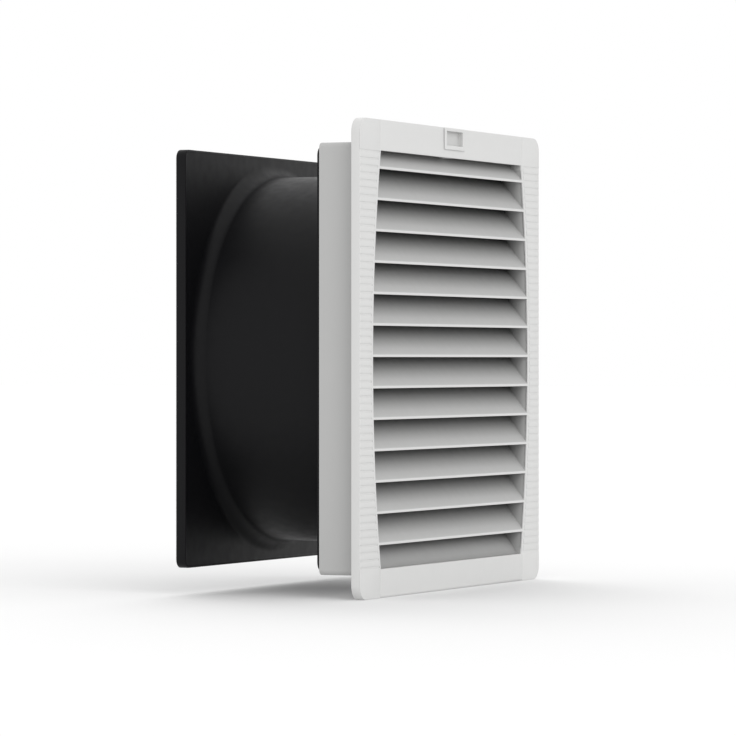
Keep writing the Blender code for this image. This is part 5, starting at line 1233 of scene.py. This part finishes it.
def impeller_hub():
    """The cup over the rotor can, with a rounded front edge and a shallow ring sunk into its face."""
    inner, outer = HUB_FACE_RING
    profile = [(0, HUB_FRONT + 3.2), (HUB_INSIDE, HUB_FRONT + 3.2), (HUB_INSIDE, HUB_BACK - 0.4),
               (HUB_INSIDE + 0.4, HUB_BACK), (HUB - 0.4, HUB_BACK), (HUB, HUB_BACK - 0.4)]
    profile += arc((HUB - 6, HUB_FRONT + 6), 6, 0, -90, 10)
    profile += [(outer, HUB_FRONT), (outer - 0.6, HUB_FRONT + 0.5), (inner + 0.6, HUB_FRONT + 0.5),
                (inner, HUB_FRONT), (0, HUB_FRONT)]
    return make_object("impeller_hub", turned(bmesh.new(), profile, 128, closed=False), impeller_nylon)


for piece in (impeller_hub(), repeated(blade_unit(), spin_tree(), Count=BLADES)):
    stand_for(piece, "rotor", "black_plastic", "impeller")


# Turned parts of the motor

# Body, slot, finish and (radius, depth) profile of each turned part
TURNED_PARTS = {
    "motor_flange": ("unit", "aluminium", cast_aluminium, [
        (11.3, 133.6), (46, 133.6), (46, 127.9), (17, 127.9), (14, 124.9), (14, 82.2), (11.3, 82.2),
        (11.3, 89.8), (9.5, 89.8), (9.5, 120.6), (11.3, 120.6)]),
    "rotor_can": ("rotor", "rotor_lacquer", rotor_lacquer, [
        (4.3, 76.2), (4.3, 81.2), (9, 81.2), (9, 78.7), (44.8, 78.7), (44.8, 125.7), (47, 125.7),
        (47, 76.2)]),
    "rotor_core": ("rotor", "laminate", core_sheet, [
        (38.5, 117.05), (44.5, 117.05), (44.5, 91.05), (38.5, 91.05)]),
    "stator_core": ("unit", "laminate", core_sheet, [
        (14.3, 117.05), (38, 117.05), (38, 91.05), (14.3, 91.05)]),
    "stator_winding_front": ("unit", "copper_winding", copper_wire, [
        (19, 90.75), (36, 90.75), (36, 82.55), (19, 82.55)]),
    "stator_winding_rear": ("unit", "copper_winding", copper_wire, [
        (19, 117.35), (36, 117.35), (36, 125.55), (19, 125.55)]),
}

for part, (body, slot, material, profile) in TURNED_PARTS.items():
    soft = 2.4 if "winding" in part else 1.6 if part == "rotor_can" else 0.5
    bm = turned(bmesh.new(), eased(profile, soft, 4), 96)
    stand_for(make_object(part + "_turned", bm, material), body, slot, part)


# Motor lead

def motor_lead():
    """A round lead: out along the guard, a bend through the rear plate, then forward into the compartment."""
    along_guard = LEAD_CORNER - LEAD_START
    route = [(LEAD_START + along_guard * i / 16, LEAD_DEPTH) for i in range(17)]
    for degrees in range(6, 91, 6):
        angle = math.radians(degrees)
        route.append((LEAD_CORNER + LEAD_BEND * math.sin(angle),
                      LEAD_DEPTH - LEAD_BEND * (1 - math.cos(angle))))
    route += [(LEAD_CORNER + LEAD_BEND, LEAD_DEPTH - LEAD_BEND - LEAD_FORWARD * i / 14) for i in range(1, 15)]
    outward = Vector((math.sqrt(0.5), 0, -math.sqrt(0.5)))
    back = Vector((0, 1, 0))
    across = outward.cross(back)
    loops = []
    for i, (radius, depth) in enumerate(route):
        before, after = route[max(i - 1, 0)], route[min(i + 1, len(route) - 1)]
        along = Vector((after[0] - before[0], after[1] - before[1])).normalized()
        normal = outward * -along.y + back * along.x
        centre = outward * radius + back * depth
        loops.append([centre + normal * u + across * v for u, v in circle(LEAD_RADIUS, 20)])
    return make_object("motor_lead_sheath", loft(bmesh.new(), loops), soft_rubber)


stand_for(motor_lead(), "unit", "rubber", "motor_lead")


# Screws

SCREW_STEPS = 40
# Rings of the cross recess from its floor to the head's face: radius and depth as shares of the head's radius
CROSS_RECESS = [(0.15, 0.30), (0.22, 0.26), (0.3, 0.0), (0.45, 0.0), (0.62, 0.0)]
CORNERS = ("top_left", "top_right", "bottom_left", "bottom_right")


def screw_unit(name, sunk, scale, length, toward_back):
    """A cross-recess screw along Y with its head seated at the origin; sunk ones are black."""
    head = (3.0 if sunk else 3.1) * scale
    shank = 1.5 * scale
    top = 0.0 if sunk else -2.4 * scale
    bm = bmesh.new()
    rings = []
    for share, depth in CROSS_RECESS:
        crown = 0.0 if sunk else 0.10 * head * (share ** 2)
        ring = []
        for i in range(SCREW_STEPS):
            angle = 2 * math.pi * i / SCREW_STEPS
            lobe = 0.5 + 0.5 * math.cos(4 * angle)
            spread = head * share * (0.55 + 0.75 * lobe ** 2) if share < 0.4 else head * share
            ring.append(bm.verts.new((spread * math.cos(angle), top + depth * head + crown,
                                      spread * math.sin(angle))))
        rings.append(ring)
    if sunk:
        outside = [(head, 0.0), (shank, 1.5), (shank, length), (0.6, length)]
    else:
        outside = [(head * 0.80, top + 0.10 * head), (head * 0.95, top + 0.3 * head),
                   (head, top + 0.55 * head), (head, 0.0), (shank, 0.0), (shank, length - 0.3),
                   (1.1 * scale, length)]
    for radius, depth in outside:
        rings.append([bm.verts.new(front_plane(u, v, depth)) for u, v in circle(radius, SCREW_STEPS)])
    skin(bm, rings)
    bm.faces.new(rings[0])
    bm.faces.new(rings[-1])
    if toward_back:
        placed(bm, Matrix.Rotation(math.pi, 4, "Z"))
    return make_object(name, bm, black_steel if sunk else zinc_plate)


# Name, body, sunk or not, scale and length; then the circle's radius, first angle and depth; then the nodes
SCREW_SETS = (
    ("guard_screws", "unit", False, 1.0, 4.8, GUARD_SCREWS * math.sqrt(2), 45, 137.7,
     ["guard_screw_" + corner for corner in CORNERS]),
    ("motor_screws", "unit", False, 1.0, 7.5, MOTOR_SCREWS, MOTOR_SCREW_TURN, 137.7,
     ["motor_screw_1", "motor_screw_2", "motor_screw_3", "motor_screw_4"]),
    ("housing_screws", "unit", True, 1.0, 7.5, HOUSING_SCREWS * math.sqrt(2), 45, 33.0,
     ["housing_screw_" + corner for corner in CORNERS]),
    ("lid_screw", "unit", False, 0.7, 5.25, LID_SCREW[0] * math.sqrt(2), -45, 60.6, ["terminal_lid_screw"]),
    ("impeller_screws", "rotor", False, 1.0, 7.5, 25, 32, 72.4,
     ["impeller_screw_1", "impeller_screw_2", "impeller_screw_3"]),
)
on_circle = circle_tree()
for name, body, sunk, scale, length, radius, turn, depth, replaced in SCREW_SETS:
    screws = screw_unit(name, sunk, scale, length, toward_back=body == "unit")
    if len(replaced) > 1:
        repeated(screws, on_circle, Count=len(replaced), Radius=radius * MM, Turn=float(turn),
                 Depth=depth * MM)
    else:
        angle = math.radians(turn)
        place = Vector((radius * math.cos(angle), depth, radius * math.sin(angle)))
        screws.data.transform(Matrix.Translation(place * MM))
    stand_for(screws, body, "black_steel" if sunk else "zinc_steel", *replaced)


# Solids that keep their shape and get their real finish

FINISHES = {
    zinc_plate: ["hinge_pin_left", "hinge_pin_right", "rotor_shaft", "shaft_retaining_ring"],
    spring_steel: ["panel_clip_" + corner for corner in CORNERS],
    gasket_foam: ["flange_gasket"],
    ground_steel: ["bearing_front", "bearing_rear"],
    soft_rubber: ["cable_grommet"],
    terminal_nylon: ["terminal_block"],
}
for material, names in FINISHES.items():
    for name in names:
        for place in nodes[name].material_slots:
            place.material = material


# Floor, light and camera

FLOOR_Z = -0.16005
FLOOR_HALF = 20
FLOOR_SHOWN = 0.74
FLOOR_GLOW = 0.11
FLOOR_FILL = 0.36
WORLD_LIGHT = 0.86
CAMERA_PLACE = (-2.7915, -1.1806, 0.0)
CAMERA_TURN = -66.06
LENS = 213.2
LENS_SHIFT = -0.0125

floor_bm = bmesh.new()
bmesh.ops.create_grid(floor_bm, x_segments=2, y_segments=2, size=1)
bmesh.ops.scale(floor_bm, vec=(FLOOR_HALF, FLOOR_HALF, 1), verts=floor_bm.verts)
bmesh.ops.translate(floor_bm, vec=(0, 0, FLOOR_Z), verts=floor_bm.verts)
floor_mesh = bpy.data.meshes.new("floor")
floor_bm.to_mesh(floor_mesh)
floor_bm.free()
floor = bpy.data.objects.new("floor", floor_mesh)
bpy.context.scene.collection.objects.link(floor)


def seen_directly(tree):
    """1 for camera, glossy and transmission rays, 0 for the rays that light the object."""
    path = node(tree, "ShaderNodeLightPath").outputs
    first = node(tree, "ShaderNodeMath", {0: path["Is Camera Ray"], 1: path["Is Glossy Ray"]},
                 operation="MAXIMUM")
    return node(tree, "ShaderNodeMath", {0: first, 1: path["Is Transmission Ray"]}, operation="MAXIMUM")


def floor_material():
    """White card: dull, and shown brighter than it lights the object, so that it fades out of sight."""
    made = bpy.data.materials.new("white_card")
    made.use_nodes = True
    tree = made.node_tree
    tree.nodes.clear()
    dull = node(tree, "ShaderNodeBsdfDiffuse", {"Color": linear("#A0A0A0")})
    fill = node(tree, "ShaderNodeEmission", {"Color": (1, 1, 1, 1), "Strength": FLOOR_FILL})
    card = node(tree, "ShaderNodeAddShader", {0: dull, 1: fill})
    lit = node(tree, "ShaderNodeBsdfDiffuse", {"Color": [FLOOR_SHOWN] * 3 + [1.0]})
    glow = node(tree, "ShaderNodeEmission", {"Color": (1, 1, 1, 1), "Strength": FLOOR_GLOW})
    bright = node(tree, "ShaderNodeAddShader", {0: lit, 1: glow})
    mixed = node(tree, "ShaderNodeMixShader", {0: seen_directly(tree), 1: card, 2: bright})
    node(tree, "ShaderNodeOutputMaterial", {"Surface": mixed})
    return made


floor_mesh.materials.append(floor_material())

world = bpy.data.worlds.new("studio")
bpy.context.scene.world = world
world.use_nodes = True
sky = world.node_tree
sky.nodes.clear()
plain = node(sky, "ShaderNodeBackground", {"Color": (1, 1, 1, 1), "Strength": WORLD_LIGHT})
white = node(sky, "ShaderNodeBackground", {"Color": (1, 1, 1, 1), "Strength": 1.0})
shown = node(sky, "ShaderNodeMixShader", {0: seen_directly(sky), 1: plain, 2: white})
node(sky, "ShaderNodeOutputWorld", {"Surface": shown})


def soft_sun(name, toward, width, strength):
    """A wide, even light from one side of the studio."""
    lamp = bpy.data.lights.new(name, "SUN")
    lamp.angle = math.radians(width)
    lamp.energy = strength
    obj = bpy.data.objects.new(name, lamp)
    obj.rotation_euler = Vector(toward).to_track_quat("Z", "Y").to_euler()
    obj.visible_glossy = False
    bpy.context.scene.collection.objects.link(obj)
    return obj


soft_sun("key_light", (-0.60, -0.75, 0.27), 60, 1.15)
soft_sun("back_light", (0.72, 0.38, 0.58), 50, 1.4)

camera_data = bpy.data.cameras.new("camera")
camera_data.sensor_width = 36
camera_data.lens = LENS
camera_data.shift_y = LENS_SHIFT
camera_data.clip_start = 0.1
camera_data.clip_end = 60
camera = bpy.data.objects.new("camera", camera_data)
camera.location = CAMERA_PLACE
camera.rotation_euler = (math.radians(90), 0, math.radians(CAMERA_TURN))
bpy.context.scene.collection.objects.link(camera)
bpy.context.scene.camera = camera
bpy.context.scene.view_settings.view_transform = "Standard"

bpy.context.view_layer.update()
